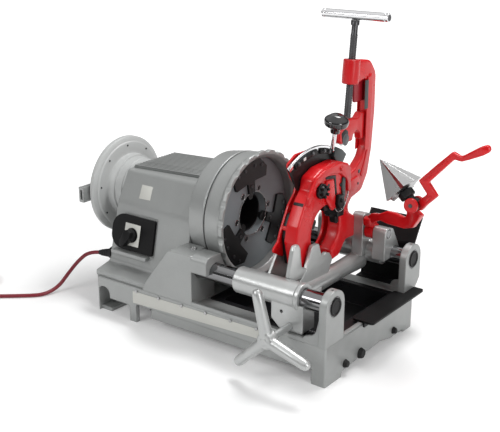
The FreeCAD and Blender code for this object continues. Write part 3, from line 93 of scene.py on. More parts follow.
def coil_route():
    """Two turns inwards on the floor, then two outwards on top of them."""
    points = []
    for step in range(1, COIL_POINTS + 1):
        turn = step / POINTS_A_TURN
        if turn < TURNED_IN:
            radius = COIL_OUTER - COIL_PITCH * turn
        elif turn < TURNED_OUT:
            radius = COIL_INNER
        else:
            radius = COIL_INNER + COIL_PITCH * (turn - TURNED_OUT)
        rise = min(1.0, max(0.0, (turn - CLIMB_FROM) / CLIMB_TURNS))
        angle = math.radians(-90) - turn * math.tau
        points.append(COIL_CENTRE + Vector((COIL_SPREAD * radius * math.cos(angle),
                                            COIL_SPREAD * radius * math.sin(angle),
                                            CORD_REST + COIL_PITCH * rise)))
    return points


def round_line(name, points, radius, roundness, steps):
    """A cord or wire on one smooth line, with the points as its control points."""
    line = bpy.data.curves.new(name, "CURVE")
    line.dimensions = "3D"
    # The depth is one metre, so a point's radius is the real one and the object's box is true.
    line.bevel_depth = 1.0
    line.bevel_resolution = roundness
    line.resolution_u = steps
    line.use_fill_caps = True
    spline = line.splines.new("NURBS")
    spline.points.add(len(points) - 1)
    for spot, point in zip(spline.points, points):
        spot.co = (*point, 1.0)
        spot.radius = radius
    spline.order_u = 3
    spline.use_endpoint_u = True
    item = bpy.data.objects.new(name, line)
    scene.collection.objects.link(item)
    return item


def lay_cord():
    """The mains lead, from the housing's gland to the plug on its coil."""
    points = [Vector(point) for point in CORD_ROUTE] + coil_route() + [Vector(PLUG_TAIL)]
    cord = round_line("mains_cord", points, CORD_WIDTH / 2, roundness=6, steps=8)
    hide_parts("power_cord", "cord_coil")
    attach(cord, "base")
    return cord


# ---------------------------------------------------------------- materials
def group(name, inputs, outputs):
    """An empty node group with its sockets, and the nodes that hold them."""
    tree = bpy.data.node_groups.new(name, "ShaderNodeTree")
    for label, kind, start in inputs:
        socket = tree.interface.new_socket(name=label, in_out="INPUT", socket_type=kind)
        socket.default_value = start
    for label, kind in outputs:
        tree.interface.new_socket(name=label, in_out="OUTPUT", socket_type=kind)
    return tree, tree.nodes.new("NodeGroupInput"), tree.nodes.new("NodeGroupOutput")


def feed(tree, value, socket):
    """Links an output to a socket, or sets a plain number on it."""
    if isinstance(value, bpy.types.NodeSocket):
        tree.links.new(value, socket)
    else:
        socket.default_value = value


def noise(tree, scale, detail, rough=0.55):
    """Noise on the piece's own Object coordinates."""
    coordinates = tree.nodes.new("ShaderNodeTexCoord")
    texture = tree.nodes.new("ShaderNodeTexNoise")
    texture.inputs["Detail"].default_value = detail
    texture.inputs["Roughness"].default_value = rough
    tree.links.new(coordinates.outputs["Object"], texture.inputs["Vector"])
    feed(tree, scale, texture.inputs["Scale"])
    return texture


def ramp(tree, source, low, high, start, end):
    """Spreads a value's stretch from low to high over start to end."""
    spread = tree.nodes.new("ShaderNodeMapRange")
    for label, number in (("From Min", low), ("From Max", high), ("To Min", start), ("To Max", end)):
        feed(tree, number, spread.inputs[label])
    tree.links.new(source, spread.inputs["Value"])
    return spread.outputs["Result"]


def mixed(tree, factor, first, second):
    """Mixes two colours by a mask."""
    blend = tree.nodes.new("ShaderNodeMix")
    blend.data_type = "RGBA"
    for label, source in (("Factor", factor), ("A", first), ("B", second)):
        tree.links.new(source, blend.inputs[label])
    return blend.outputs["Result"]


def maths(tree, operation, *values):
    """A Math node's result; each value is an output or a number."""
    node = tree.nodes.new("ShaderNodeMath")
    node.operation = operation
    for socket, value in zip(node.inputs, values):
        feed(tree, value, socket)
    return node.outputs[0]


def make_grain_group():
    """Fine bumps of a cast or moulded skin, laid over a softened edge."""
    tree, given, result = group("skin_grain", [
        ("Scale", "NodeSocketFloat", 900.0), ("Depth", "NodeSocketFloat", 0.00006),
        ("Waves", "NodeSocketFloat", 0.0002), ("Edge", "NodeSocketFloat", 0.0012)],
        [("Normal", "NodeSocketVector"), ("Mask", "NodeSocketFloat")])
    edge = tree.nodes.new("ShaderNodeBevel")
    edge.samples = 6
    tree.links.new(given.outputs["Edge"], edge.inputs["Radius"])
    broad = noise(tree, 26.0, 2.0)
    swell = tree.nodes.new("ShaderNodeBump")
    swell.inputs["Strength"].default_value = 1.0
    tree.links.new(given.outputs["Waves"], swell.inputs["Distance"])
    tree.links.new(broad.outputs["Fac"], swell.inputs["Height"])
    tree.links.new(edge.outputs["Normal"], swell.inputs["Normal"])
    fine = noise(tree, given.outputs["Scale"], 3.0, 0.6)
    bump = tree.nodes.new("ShaderNodeBump")
    bump.inputs["Strength"].default_value = 1.0
    tree.links.new(given.outputs["Depth"], bump.inputs["Distance"])
    tree.links.new(fine.outputs["Fac"], bump.inputs["Height"])
    tree.links.new(swell.outputs["Normal"], bump.inputs["Normal"])
    tree.links.new(bump.outputs["Normal"], result.inputs["Normal"])
    tree.links.new(fine.outputs["Fac"], result.inputs["Mask"])
    return tree


def make_tone_group():
    """Colour that drifts over a surface, with small darker flecks and dust in patches."""
    tree, given, result = group("tone_drift", [
        ("Color", "NodeSocketColor", (0.5, 0.5, 0.5, 1.0)),
        ("Shade", "NodeSocketColor", (0.3, 0.3, 0.3, 1.0)),
        ("Drift", "NodeSocketFloat", 0.4), ("Fleck", "NodeSocketFloat", 0.15),
        ("Fleck size", "NodeSocketFloat", 500.0)],
        [("Color", "NodeSocketColor"), ("Mask", "NodeSocketFloat")])
    broad = noise(tree, 9.0, 5.0, 0.6)
    patch = ramp(tree, broad.outputs["Fac"], 0.35, 0.7, 0.0, given.outputs["Drift"])
    drifted = mixed(tree, patch, given.outputs["Color"], given.outputs["Shade"])
    small = noise(tree, given.outputs["Fleck size"], 2.0)
    spots = ramp(tree, small.outputs["Fac"], 0.56, 0.72, 0.0, given.outputs["Fleck"])
    flecked = mixed(tree, spots, drifted, given.outputs["Shade"])
    tree.links.new(flecked, result.inputs["Color"])
    tree.links.new(broad.outputs["Fac"], result.inputs["Mask"])
    return tree


def add_group(tree, source, **values):
    """A node group placed in a material; an underscore stands for a space in an input's name."""
    item = tree.nodes.new("ShaderNodeGroup")
    item.node_tree = source
    for label, number in values.items():
        item.inputs[label.replace("_", " ")].default_value = number
    return item


def finish(name, colour, shade, rough, metal=0.0, coat=0.0, grain=900.0, depth=0.00005,
           waves=0.0, edge=0.0012, drift=0.4, fleck=0.15, rough_spread=0.1, shine=0.5):
    """A surface with drifting colour, grain and softened edges."""
    material = bpy.data.materials.new(name)
    material.use_nodes = True
    tree = material.node_tree
    shader = tree.nodes["Principled BSDF"]
    tone = add_group(tree, TONE, Color=(*colour, 1.0), Shade=(*shade, 1.0), Drift=drift,
                     Fleck=fleck, Fleck_size=FLECK_SIZE)
    skin = add_group(tree, GRAIN, Scale=grain, Depth=depth, Waves=waves, Edge=edge)
    tree.links.new(tone.outputs["Color"], shader.inputs["Base Color"])
    patches = ramp(tree, tone.outputs["Mask"], 0.3, 0.7, rough - rough_spread / 2,
                   rough + rough_spread / 2)
    tree.links.new(patches, shader.inputs["Roughness"])
    tree.links.new(skin.outputs["Normal"], shader.inputs["Normal"])
    shader.inputs["Metallic"].default_value = metal
    shader.inputs["Specular IOR Level"].default_value = shine
    shader.inputs["Coat Weight"].default_value = coat
    shader.inputs["Coat Roughness"].default_value = COAT_ROUGHNESS
    return material


FLECK_SIZE = 500.0
COAT_ROUGHNESS = 0.12
GRAIN = make_grain_group()
TONE = make_tone_group()


def make_finishes():
    """Every finish, by the name that the pieces ask for it by."""
    return {
        "cast_grey": finish("cast_grey_enamel", (0.36, 0.37, 0.365), (0.28, 0.288, 0.284), 0.40,
                            metal=0.4, grain=650.0, depth=0.00007, waves=0.0006, edge=0.004),
        "cast_cover": finish("ribbed_lid_enamel", (0.40, 0.41, 0.405), (0.30, 0.31, 0.305), 0.34,
                             metal=0.4, grain=650.0, depth=0.00004, edge=0.0003),
        # The lid plate under the ribs is painted darker than the ribs, as painted shade in the
        # grooves between them.
        "painted_groove_shade": finish("lid_plate_painted_shade", (0.20, 0.21, 0.205), (0.14, 0.148, 0.144), 0.45,
                              metal=0.2, grain=650.0, depth=0.00005, edge=0.001),
        "cast_pale": finish("cast_pale_enamel", (0.50, 0.51, 0.505), (0.36, 0.37, 0.365), 0.33,
                            metal=0.6, grain=700.0, depth=0.00007, waves=0.0008, edge=0.003),
        "chuck_grey": finish("chuck_face_enamel", (0.235, 0.27, 0.285), (0.17, 0.195, 0.205), 0.50,
                             metal=0.1, grain=800.0, depth=0.00005, waves=0.0002, edge=0.0015),
        "chrome": finish("ground_rail_steel", (0.72, 0.72, 0.73), (0.55, 0.55, 0.56), 0.14,
                         metal=1.0, grain=2500.0, depth=0.000008, edge=0.0008, fleck=0.05,
                         drift=0.25, rough_spread=0.06),
        "rail_steel": finish("dark_ground_rail", (0.23, 0.23, 0.235), (0.15, 0.15, 0.155), 0.10,
                             metal=1.0, grain=2500.0, depth=0.000006, edge=0.0008, fleck=0.05,
                             drift=0.25, rough_spread=0.04),
        "wheel_matt": finish("rear_wheel_enamel", (0.50, 0.51, 0.505), (0.38, 0.39, 0.385), 0.50,
                             metal=0.12, grain=800.0, depth=0.00005, waves=0.0002, edge=0.0015,
                             shine=0.35),
        "dark_steel": finish("oiled_dark_steel", (0.10, 0.10, 0.105), (0.045, 0.045, 0.045), 0.33,
                             metal=0.9, grain=1500.0, depth=0.00002, edge=0.0006),
        "bright_steel": finish("worn_bright_steel", (0.45, 0.45, 0.45), (0.2, 0.2, 0.2), 0.28,
                               metal=1.0, grain=1800.0, depth=0.00002, edge=0.0006),
        "black_steel": finish("blackened_steel", (0.007, 0.007, 0.0075), (0.015, 0.015, 0.015),
                              0.40, grain=900.0, depth=0.00004, edge=0.0012, shine=0.28),
        "black_plastic": finish("black_moulding", (0.005, 0.005, 0.0055), (0.009, 0.009, 0.009),
                                0.44, grain=1400.0, depth=0.00003, edge=0.0015, shine=0.18),
        "gloss_black": finish("black_ball_grip", (0.008, 0.008, 0.009), (0.014, 0.014, 0.014), 0.12,
                              coat=0.6, grain=300.0, depth=0.00001, edge=0.001),
        "tray_black": finish("oily_tray_moulding", (0.006, 0.006, 0.007), (0.016, 0.016, 0.018),
                             0.32, grain=420.0, depth=0.00015, edge=0.002, rough_spread=0.2,
                             shine=0.3),
        "rubber": finish("black_rubber", (0.008, 0.008, 0.008), (0.018, 0.018, 0.018), 0.6,
                         grain=1600.0, depth=0.00004, edge=0.0008, shine=0.3),
        "cord_red": finish("cord_red_sheath", (0.20, 0.006, 0.018), (0.13, 0.004, 0.012), 0.40,
                           grain=1200.0, depth=0.00003, edge=0.0),
        "tool_red": finish("tool_red_enamel", (0.66, 0.006, 0.010), (0.48, 0.004, 0.007), 0.30,
                           coat=0.12, grain=500.0, depth=0.00006, waves=0.0007, edge=0.003,
                           drift=0.5, fleck=0.08, shine=0.35),
        # A darker copy of the tool red, painted as the shade that falls on the cutter's web.
        "painted_shade_red": finish("shaded_red_enamel", (0.34, 0.006, 0.016), (0.22, 0.004, 0.010), 0.42,
                            grain=500.0, depth=0.00006, edge=0.002, drift=0.5, fleck=0.1),
        "end_block": finish("dark_slate_steel", (0.055, 0.065, 0.065), (0.03, 0.035, 0.035), 0.42,
                            metal=0.4, grain=900.0, depth=0.00004, edge=0.001),
        "label": finish("bare_label_card", (0.60, 0.60, 0.56), (0.52, 0.52, 0.49), 0.5,
                        grain=900.0, depth=0.00001, edge=0.0, drift=0.3, fleck=0.05),
        "bronze": finish("bearing_bronze", (0.45, 0.28, 0.11), (0.25, 0.15, 0.06), 0.35,
                         metal=1.0, edge=0.0008),
        "white_mark": finish("white_mark_paint", (0.75, 0.75, 0.73), (0.6, 0.6, 0.58), 0.5,
                             edge=0.0),
    }


NODE_FINISHES = {
    "cast_grey": ["base_casting", "bed_casting", "gear_housing", "barrel_ring", "chuck_wheel",
                  "motor_casing", "rear_chuck_plate"],
    # The lid plate, in the painted groove shade.
    "painted_groove_shade": ["top_cover"],
    "chuck_grey": ["chuck_body"],
    "cast_pale": ["carriage_casting", "feed_wheel", "feed_shaft"],
    "wheel_matt": ["rear_wheel"],
    "bronze": ["front_bearing", "rear_bearing"],
    "rail_steel": ["front_rail", "rear_rail", "tool_shaft"],
    "chrome": ["t_bar", "cam_plate"],
    "bright_steel": ["cutter_wheel", "roller_1", "roller_2"],
    "dark_steel": ["feed_rack", "motor_rotor", "spindle_tube", "ring_gear", "rear_jaw_1",
                   "rear_jaw_2", "rear_jaw_3", "cutter_screw", "reamer_cone"],
    "black_steel": ["jaw_covers", "jaw_1", "jaw_2", "jaw_3", "die_1", "die_2", "die_3", "die_4",
                    "lock_knob", "reamer_collar"],
    "gloss_black": ["lever_knob"],
    "black_plastic": ["splash_guard", "switch_plate", "switch_knob", "tray_spout"],
    "tray_black": ["chip_tray"],
    "rubber": ["end_plugs", "strain_relief", "plug"],
    "cord_red": ["power_cord", "cord_coil"],
    "tool_red": ["die_head_frame", "die_head_plate", "cutter_frame", "cutter_guides",
                 "cutter_slider", "reamer_arm"],
}


NODE_CREASE = math.radians(28)


def dress_nodes():
    """Gives each CAD node its finish, and a crease where its faces meet at more than an angle."""
    for look, names in NODE_FINISHES.items():
        for name in names:
            mesh = nodes[name].data
            mesh.materials.clear()
            mesh.materials.append(LOOKS[look])
            mesh.set_sharp_from_angle(angle=NODE_CREASE)


# ---------------------------------------------------------------- stage
FLOOR_REACH = 30
FLOOR_COLOUR = (0.86, 0.86, 0.86, 1.0)
FILL_LIGHT = 0.34


def make_floor():
    """A pale matt floor that takes the shadow, and glows white to the camera further out."""
    floor_mesh = bpy.data.meshes.new("floor")
    shape = bmesh.new()
    bmesh.ops.create_grid(shape, x_segments=2, y_segments=2, size=FLOOR_REACH)
    shape.to_mesh(floor_mesh)
    shape.free()
    floor = bpy.data.objects.new("floor", floor_mesh)
    scene.collection.objects.link(floor)
    material = bpy.data.materials.new("pale_floor")
    material.use_nodes = True
    tree = material.node_tree
    tree.nodes.remove(tree.nodes["Principled BSDF"])
    output = tree.nodes["Material Output"]
    matt = tree.nodes.new("ShaderNodeBsdfDiffuse")
    matt.inputs["Color"].default_value = FLOOR_COLOUR
    glow = tree.nodes.new("ShaderNodeEmission")
    path = tree.nodes.new("ShaderNodeLightPath")
    seen = maths(tree, "MAXIMUM", path.outputs["Is Camera Ray"], path.outputs["Is Glossy Ray"])
    coordinates = tree.nodes.new("ShaderNodeTexCoord")
    reach = tree.nodes.new("ShaderNodeVectorMath")
    reach.operation = "LENGTH"
    tree.links.new(coordinates.outputs["Object"], reach.inputs[0])
    far = ramp(tree, reach.outputs["Value"], 0.6, 3.0, 0.16, 1.0)
    tree.links.new(maths(tree, "MULTIPLY", seen, far), glow.inputs["Strength"])
    both = tree.nodes.new("ShaderNodeAddShader")
    tree.links.new(matt.outputs[0], both.inputs[0])
    tree.links.new(glow.outputs[0], both.inputs[1])
    tree.links.new(both.outputs[0], output.inputs["Surface"])
    floor_mesh.materials.append(material)


def make_world():
    """White to the camera, a soft fill, and for gloss a sky that is bright only overhead."""
    world = bpy.data.worlds.new("studio")
    world.use_nodes = True
    scene.world = world
    tree = world.node_tree
    soft = tree.nodes["Background"]
    path = tree.nodes.new("ShaderNodeLightPath")
    coordinates = tree.nodes.new("ShaderNodeTexCoord")
    parts = tree.nodes.new("ShaderNodeSeparateXYZ")
    tree.links.new(coordinates.outputs["Generated"], parts.inputs[0])
    sky = ramp(tree, parts.outputs["Z"], 0.30, 0.75, 0.10, 1.0)
    shiny = maths(tree, "MULTIPLY", path.outputs["Is Glossy Ray"], sky)
    lit = maths(tree, "MAXIMUM", path.outputs["Is Camera Ray"], shiny)
    fill = maths(tree, "MULTIPLY_ADD", path.outputs["Is Diffuse Ray"], FILL_LIGHT, lit)
    tree.links.new(fill, soft.inputs["Strength"])
    soft.inputs["Color"].default_value = (1.0, 1.0, 1.0, 1.0)


def add_lamp(name, place, aim, size, power):
    """A rectangular lamp turned from its place towards its aim."""
    lamp = bpy.data.lights.new(name, "AREA")
    lamp.shape = "RECTANGLE"
    lamp.size, lamp.size_y = size
    lamp.energy = power
    item = bpy.data.objects.new(name, lamp)
    item.location = place
    way = Vector(aim) - Vector(place)
    item.rotation_euler = way.to_track_quat("-Z", "Y").to_euler()
    scene.collection.objects.link(item)


def make_lamps():
    """A key from above and behind, and weaker lamps from the front and the open end."""
    add_lamp("key_lamp", (0.3, 0.7, 2.4), (0, 0, 0.2), (1.2, 0.7), 40)
    add_lamp("front_lamp", (-0.9, -2.4, 1.7), (0, 0, 0.2), (1.2, 0.8), 23)
    add_lamp("side_lamp", (2.5, -0.7, 1.1), (0, 0, 0.25), (0.8, 1.0), 20)


# ---------------------------------------------------------------- piece helpers
WELD = 0.00001
POLE_WELD = 0.000005
ROUNDED_FROM = math.radians(30)


def keep(name, shape, body, look, rounding=0.0, segments=2, sharp=32):
    """Makes a piece from a bmesh, with its finish and the CAD body that it moves with."""
    bmesh.ops.remove_doubles(shape, verts=shape.verts, dist=WELD)
    bmesh.ops.recalc_face_normals(shape, faces=shape.faces)
    if rounding:
        edges = [edge for edge in shape.edges if edge.is_manifold
                 and edge.calc_face_angle(0.0) > ROUNDED_FROM]
        bmesh.ops.bevel(shape, geom=edges, offset=rounding, segments=segments, profile=0.5,
                        affect="EDGES", material=-1, clamp_overlap=True)
    for face in shape.faces:
        face.smooth = True
    mesh = bpy.data.meshes.new(name)
    shape.to_mesh(mesh)
    shape.free()
    mesh.set_sharp_from_angle(angle=math.radians(sharp))
    item = bpy.data.objects.new(name, mesh)
    scene.collection.objects.link(item)
    mesh.materials.append(LOOKS[look])
    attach(item, body)
    return item


def turned(profile, axis, centre, steps=48, shape=None):
    """Spins (along, radius) points about a line; they start and end on it, or close a ring."""
    shape = shape or bmesh.new()
    axis = Vector(axis).normalized()
    side = axis.orthogonal().normalized()
    centre = Vector(centre)
    spots = [shape.verts.new(centre + axis * along + side * radius) for along, radius in profile]
    edges = [shape.edges.new(pair) for pair in zip(spots, spots[1:])]
    bmesh.ops.spin(shape, geom=spots + edges, cent=centre, axis=axis, dvec=(0, 0, 0),
                   angle=math.tau, steps=steps, use_merge=True, use_duplicate=False)
    bmesh.ops.remove_doubles(shape, verts=shape.verts, dist=POLE_WELD)
    return shape


def disc(shape, centre, way, radius, high, steps):
    """Adds a plain round disc that stands on a surface."""
    turned([(0, 0), (0, radius), (high, radius), (high, 0)], way, centre, steps, shape)


def pushed_out(shape, faces):
    """Extrudes faces in place, and returns the corners of the new end."""
    pushed = bmesh.ops.extrude_face_region(shape, geom=faces)
    return [item for item in pushed["geom"] if isinstance(item, bmesh.types.BMVert)]


def slab(corners, way, thick, shape=None):
    """A flat face through the corners, pushed along a way by a thickness."""
    shape = shape or bmesh.new()
    face = shape.faces.new([shape.verts.new(Vector(corner)) for corner in corners])
    bmesh.ops.translate(shape, verts=pushed_out(shape, [face]),
                        vec=Vector(way).normalized() * thick)
    return shape


def block(low, high, shape=None):
    """A box between two corners."""
    shape = shape or bmesh.new()
    low, high = Vector(low), Vector(high)
    size = high - low
    bmesh.ops.create_cube(shape, size=1.0, matrix=Matrix.Translation((low + high) / 2)
                          @ Matrix.Diagonal((*size, 1.0)))
    return shape


def bar(first, last, radius, sides=20, second=None, shape=None):
    """A round bar between two places, which may taper to a second radius."""
    shape = shape or bmesh.new()
    first, last = Vector(first), Vector(last)
    way = last - first
    turn = way.to_track_quat("Z", "Y").to_matrix().to_4x4()
    bmesh.ops.create_cone(shape, cap_ends=True, segments=sides, radius1=radius,
                          radius2=radius if second is None else second, depth=way.length,
                          matrix=Matrix.Translation((first + last) / 2) @ turn)
    return shape


def screw_head(shape, centre, way, radius, high):
    """Adds a hexagon bolt head on a round flange, standing on a surface."""
    way = Vector(way).normalized()
    centre = Vector(centre)
    flange = centre + way * high * 0.35
    bar(centre, flange, radius * 1.25, shape=shape)
    bar(flange, centre + way * high, radius, 6, radius * 0.94, shape=shape)


def outline(corners, start):
    """A flat face across X. Each corner is (y, z, rounding) in millimetres."""
    shape = bmesh.new()
    spots = [shape.verts.new((start * MM, y * MM, z * MM)) for y, z, _ in corners]
    shape.faces.new(spots)
    count = len(corners)
    for number, (spot, corner) in enumerate(zip(spots, corners)):
        if not corner[2]:
            continue
        here = Vector(corner[:2])
        before = (Vector(corners[number - 1][:2]) - here).normalized()
        after = (Vector(corners[(number + 1) % count][:2]) - here).normalized()
        half = before.angle(after) / 2
        bmesh.ops.bevel(shape, geom=[spot], offset=corner[2] / math.tan(half) * MM,
                        offset_type="OFFSET", affect="VERTICES", segments=5, profile=0.5,
                        material=-1, clamp_overlap=True)
    return shape


def casting(corners, start, thick):
    """A plate across X with a rounded outline."""
    shape = outline(corners, start)
    bmesh.ops.translate(shape, verts=pushed_out(shape, list(shape.faces)),
                        vec=(thick * MM, 0, 0))
    return shape


def join(first, second):
    """Adds the second shape's mesh to the first."""
    carrier = bpy.data.meshes.new("carrier")
    second.to_mesh(carrier)
    second.free()
    first.from_mesh(carrier)
    bpy.data.meshes.remove(carrier)


def swept(stations, up, shape=None):
    """A bar of four-cornered cross-sections; a station is (place, width, thickness) in mm."""
    shape = shape or bmesh.new()
    up = Vector(up).normalized()
    places = [Vector(place) * MM for place, _, _ in stations]
    rings = []
    for number, (_, width, thickness) in enumerate(stations):
        before = (places[number] - places[max(number - 1, 0)]).normalized()
        after = (places[min(number + 1, len(places) - 1)] - places[number]).normalized()
        way = (before + after).normalized()
        bend = before.angle(after) / 2 if before.length and after.length else 0.0
        side = up.cross(way).normalized() * width * MM / 2 / max(math.cos(bend), 0.45)
        lift = up * thickness * MM / 2
        ring = [shape.verts.new(places[number] + side * a + lift * b)
                for a, b in ((1, 1), (-1, 1), (-1, -1), (1, -1))]
        rings.append(ring)
    for first, second in zip(rings, rings[1:]):
        loops = []
        for ring in (first, second):
            for pair in zip(ring, ring[1:] + ring[:1]):
                loops.append(shape.edges.get(pair) or shape.edges.new(pair))
        bmesh.ops.bridge_loops(shape, edges=loops)
    shape.faces.new(rings[0])
    shape.faces.new(rings[-1])
    return shape


def around(angle, radius, x, centre=SPINDLE):
    """The place at an angle and a radius about a line along X."""
    turn = math.radians(angle)
    return Vector((x, centre[0] + radius * math.cos(turn), centre[1] + radius * math.sin(turn)))


# ---------------------------------------------------------------- base and housing details
SKIRT_FACE = -0.2112
LABEL_THICK = 0.0007
# The lid's slope: its lower end, and a rise of 11 mm over 260.
LID_SLOPE = (Matrix.Translation((-0.344, 0.0, 0.3492))
             @ Matrix.Rotation(-math.atan(11 / 260), 4, "Y"))
LID_LENGTH = 0.248
RIB_COUNT = 16
RIB_PITCH = 0.010
# The switch's face: its middle, and the front wall's slope.
SWITCH_FACE = (Matrix.Translation((-0.276, -0.1375, 0.200))
               @ Matrix.Rotation(math.radians(-14), 4, "X"))


def base_details():
    """The long bare label on the skirt, the rails' end caps and the brackets' oil holes."""
    plate = slab([(x, SKIRT_FACE, z) for x, z in ((-0.218, 0.052), (0.177, 0.067),
                                                  (0.177, 0.090), (-0.218, 0.084))],
                 (0, -1, 0), LABEL_THICK)
    keep("front_label_plate", plate, "base", "label", rounding=0.0002)
    rivets = bmesh.new()
    for number in range(6):
        turned([(0, 0), (0, 0.004), (0.0015, 0.004), (0.002, 0.0034), (0.002, 0)], (0, -1, 0),
               (-0.205 + number * 0.074, SKIRT_FACE - LABEL_THICK, 0.0855 + number * 0.0008), 16,
               rivets)
    keep("label_rivets", rivets, "base", "bright_steel")
    caps = bmesh.new()
    for y in (-0.1765, 0.1765):
        turned([(0, 0.0), (0, 0.0205), (0.002, 0.0205), (0.003, 0.0195), (0.003, 0.016),
                (0.0015, 0.0145), (0.0015, 0)], (1, 0, 0), (0.3500, y, 0.181), 40, caps)
    keep("rail_end_caps", caps, "base", "black_plastic")
    holes = bmesh.new()
    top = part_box("base_casting")[1][2]
    for y in (-0.184, 0.184):
        disc(holes, (0.342, y, top - 0.0003), (0, 0, 1), 0.0042, 0.0006, 20)
    keep("bracket_oil_holes", holes, "base", "black_steel")


def housing_details():
    """The switch's dial and pointer, the lid's ribs, the shoulder's bolt and the gland's rings."""
    dial = block((-0.026, -0.0093, -0.030), (0.026, -0.0086, 0.026))
    bmesh.ops.transform(dial, matrix=SWITCH_FACE, verts=dial.verts)
    keep("switch_dial_card", dial, "base", "label", rounding=0.0003)
    pointer = slab([(0.013, -0.012, 0.006), (0.004, -0.012, 0.013), (-0.009, -0.012, 0.009),
                    (-0.015, -0.012, -0.005), (-0.022, -0.012, -0.024), (-0.019, -0.012, -0.032),
                    (-0.011, -0.012, -0.034), (-0.002, -0.012, -0.024), (0.011, -0.012, -0.009)],
                   (0, -1, 0), 0.019)
    join(pointer, turned([(0, 0), (0, 0.0165), (0.005, 0.0155), (0.007, 0.0135), (0.007, 0)],
                         (0, -1, 0), (0, -0.0118, -0.003), 36))
    bmesh.ops.transform(pointer, matrix=SWITCH_FACE, verts=pointer.verts)
    grip = keep("switch_pointer", pointer, "switch_knob", "black_plastic",
                rounding=0.002, segments=3)
    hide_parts("switch_knob")
    ribs = bmesh.new()
    for number in range(RIB_COUNT):
        near = -0.0558 + RIB_PITCH * number
        block((0, near, 0), (LID_LENGTH, near + 0.0046, 0.0052), ribs)
    bmesh.ops.transform(ribs, matrix=LID_SLOPE, verts=ribs.verts)
    keep("lid_ribs", ribs, "base", "cast_cover", rounding=0.0010)
    bolt = bmesh.new()
    turned([(0, 0), (0, 0.0085), (0.0016, 0.0085), (0.0024, 0.0074), (0.0024, 0.0052),
            (0.0010, 0.0046), (0.0010, 0)], (0, 0, 1), (-0.056, -0.165, 0.2190), 28, bolt)
    keep("shoulder_bolt", bolt, "base", "bright_steel")
    rings = bmesh.new()
    gland = Vector(CORD_ROUTE[0])
    exit_way = (Vector(CORD_ROUTE[1]) - gland).normalized()
    for number in range(4):
        along = -0.033 + 0.0072 * number
        radius = 0.0108 - 0.0007 * number
        turned([(0, 0.004), (0, radius - 0.001), (0.0012, radius), (0.0024, radius),
                (0.0036, radius - 0.001), (0.0036, 0.004), (0, 0.004)], exit_way,
               gland + exit_way * along, 28, rings)
    keep("gland_ribs", rings, "base", "rubber")


WHEEL_FACE = -0.4190


def rear_wheel_details():
    """The rear hand wheel: a flat flange on a stepped neck, with small holes near its rim."""
    low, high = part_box("spindle_tube")
    hole = (high[1] - low[1]) / 2 + 0.0004
    wheel = turned([(-0.352, hole), (-0.352, 0.076), (-0.374, 0.077), (-0.376, 0.0795),
                    (-0.396, 0.0805), (-0.398, 0.0845), (-0.413, 0.085), (-0.416, 0.0865),
                    (-0.4175, 0.0895), (-0.418, 0.094), (WHEEL_FACE, 0.1135),
                    (-0.4205, 0.1165), (-0.4225, 0.1180), (-0.4255, 0.1270),
                    (-0.429, 0.1308), (-0.433, 0.131), (-0.438, 0.131), (-0.442, 0.125),
                    (-0.442, hole), (-0.352, hole)], (1, 0, 0), (0, *SPINDLE), 96)
    body = keep("rear_wheel_casting", wheel, "rear_wheel", "wheel_matt")
    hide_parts("rear_wheel")
    dots = bmesh.new()
    for number in range(9):
        spot = around(12 + 40 * number, 0.1085, WHEEL_FACE)
        disc(dots, spot, (1, 0, 0), 0.0026, 0.0012, 16)
    keep("rear_wheel_holes", dots, "rear_wheel", "black_steel")


CHUCK_FACE = -0.0040
COVER_FACE = 0.0020
JAW_TEETH = 5


def chuck_details():
    """The face plate's holes, as black discs of painted shade in bright rims of painted highlight,
    the mouth ring, the covers' screws and the jaws' teeth.
    """
    slots = bmesh.new()
    lights = bmesh.new()
    # Each hole is a black disc painted as the shade in it, and a bright steel ring painted as the
    # highlight on its edge.
    for number in range(6):
        middle = around(7 + 60 * number, 0.0645, CHUCK_FACE)
        turned([(0, 0), (0.0012, 0), (0.0012, 0.0052), (0.0008, 0.0060), (0, 0.0060)], (1, 0, 0),
               middle, 20, slots)
        turned([(0.0010, 0.0060), (0.0016, 0.0066), (0.0010, 0.0078), (0.0, 0.0078), (0, 0.0060),
                (0.0010, 0.0060)], (1, 0, 0), middle, 20, lights)
    keep("face_hole_shades", slots, "spindle", "black_steel")
    keep("face_hole_highlight_rims", lights, "spindle", "bright_steel")
    screws = bmesh.new()
    for way in JAW_ANGLES:
        for turn, radius in ((-22, 0.122), (22, 0.122), (-9, 0.121), (9, 0.121), (0, 0.072)):
            middle = around(way + turn, radius, COVER_FACE)
            turned([(0, 0), (0, 0.0045), (0.0012, 0.0045), (0.0018, 0.0038), (0.0018, 0.0019),
                    (0.0006, 0.0019), (0.0006, 0)], (1, 0, 0), middle, 16, screws)
    keep("cover_screws", screws, "spindle", "dark_steel")
    lip = bmesh.new()
    turned([(CHUCK_FACE, 0.0535), (-0.0028, 0.0535), (-0.0022, 0.0545), (-0.0022, 0.0562),
            (CHUCK_FACE, 0.0568), (CHUCK_FACE, 0.0535)], (1, 0, 0), (0, *SPINDLE), 72, lip)
    keep("mouth_ring", lip, "spindle", "bright_steel")
    for number, way in enumerate(JAW_ANGLES, 1):
        place = Matrix.Translation((0, 0, SPINDLE[1])) @ Matrix.Rotation(
            math.radians(way - 90), 4, "X")
        teeth = bmesh.new()
        for step in range(JAW_TEETH):
            high = 0.0378 + 0.0032 * step
            block((-0.0125, -0.0058, high), (-0.0045, 0.0058, high + 0.0022), teeth)
        bmesh.ops.transform(teeth, matrix=place, verts=teeth.verts)
        keep("jaw_%d_teeth" % number, teeth, "jaw_%d" % number, "dark_steel",
             rounding=0.0005)


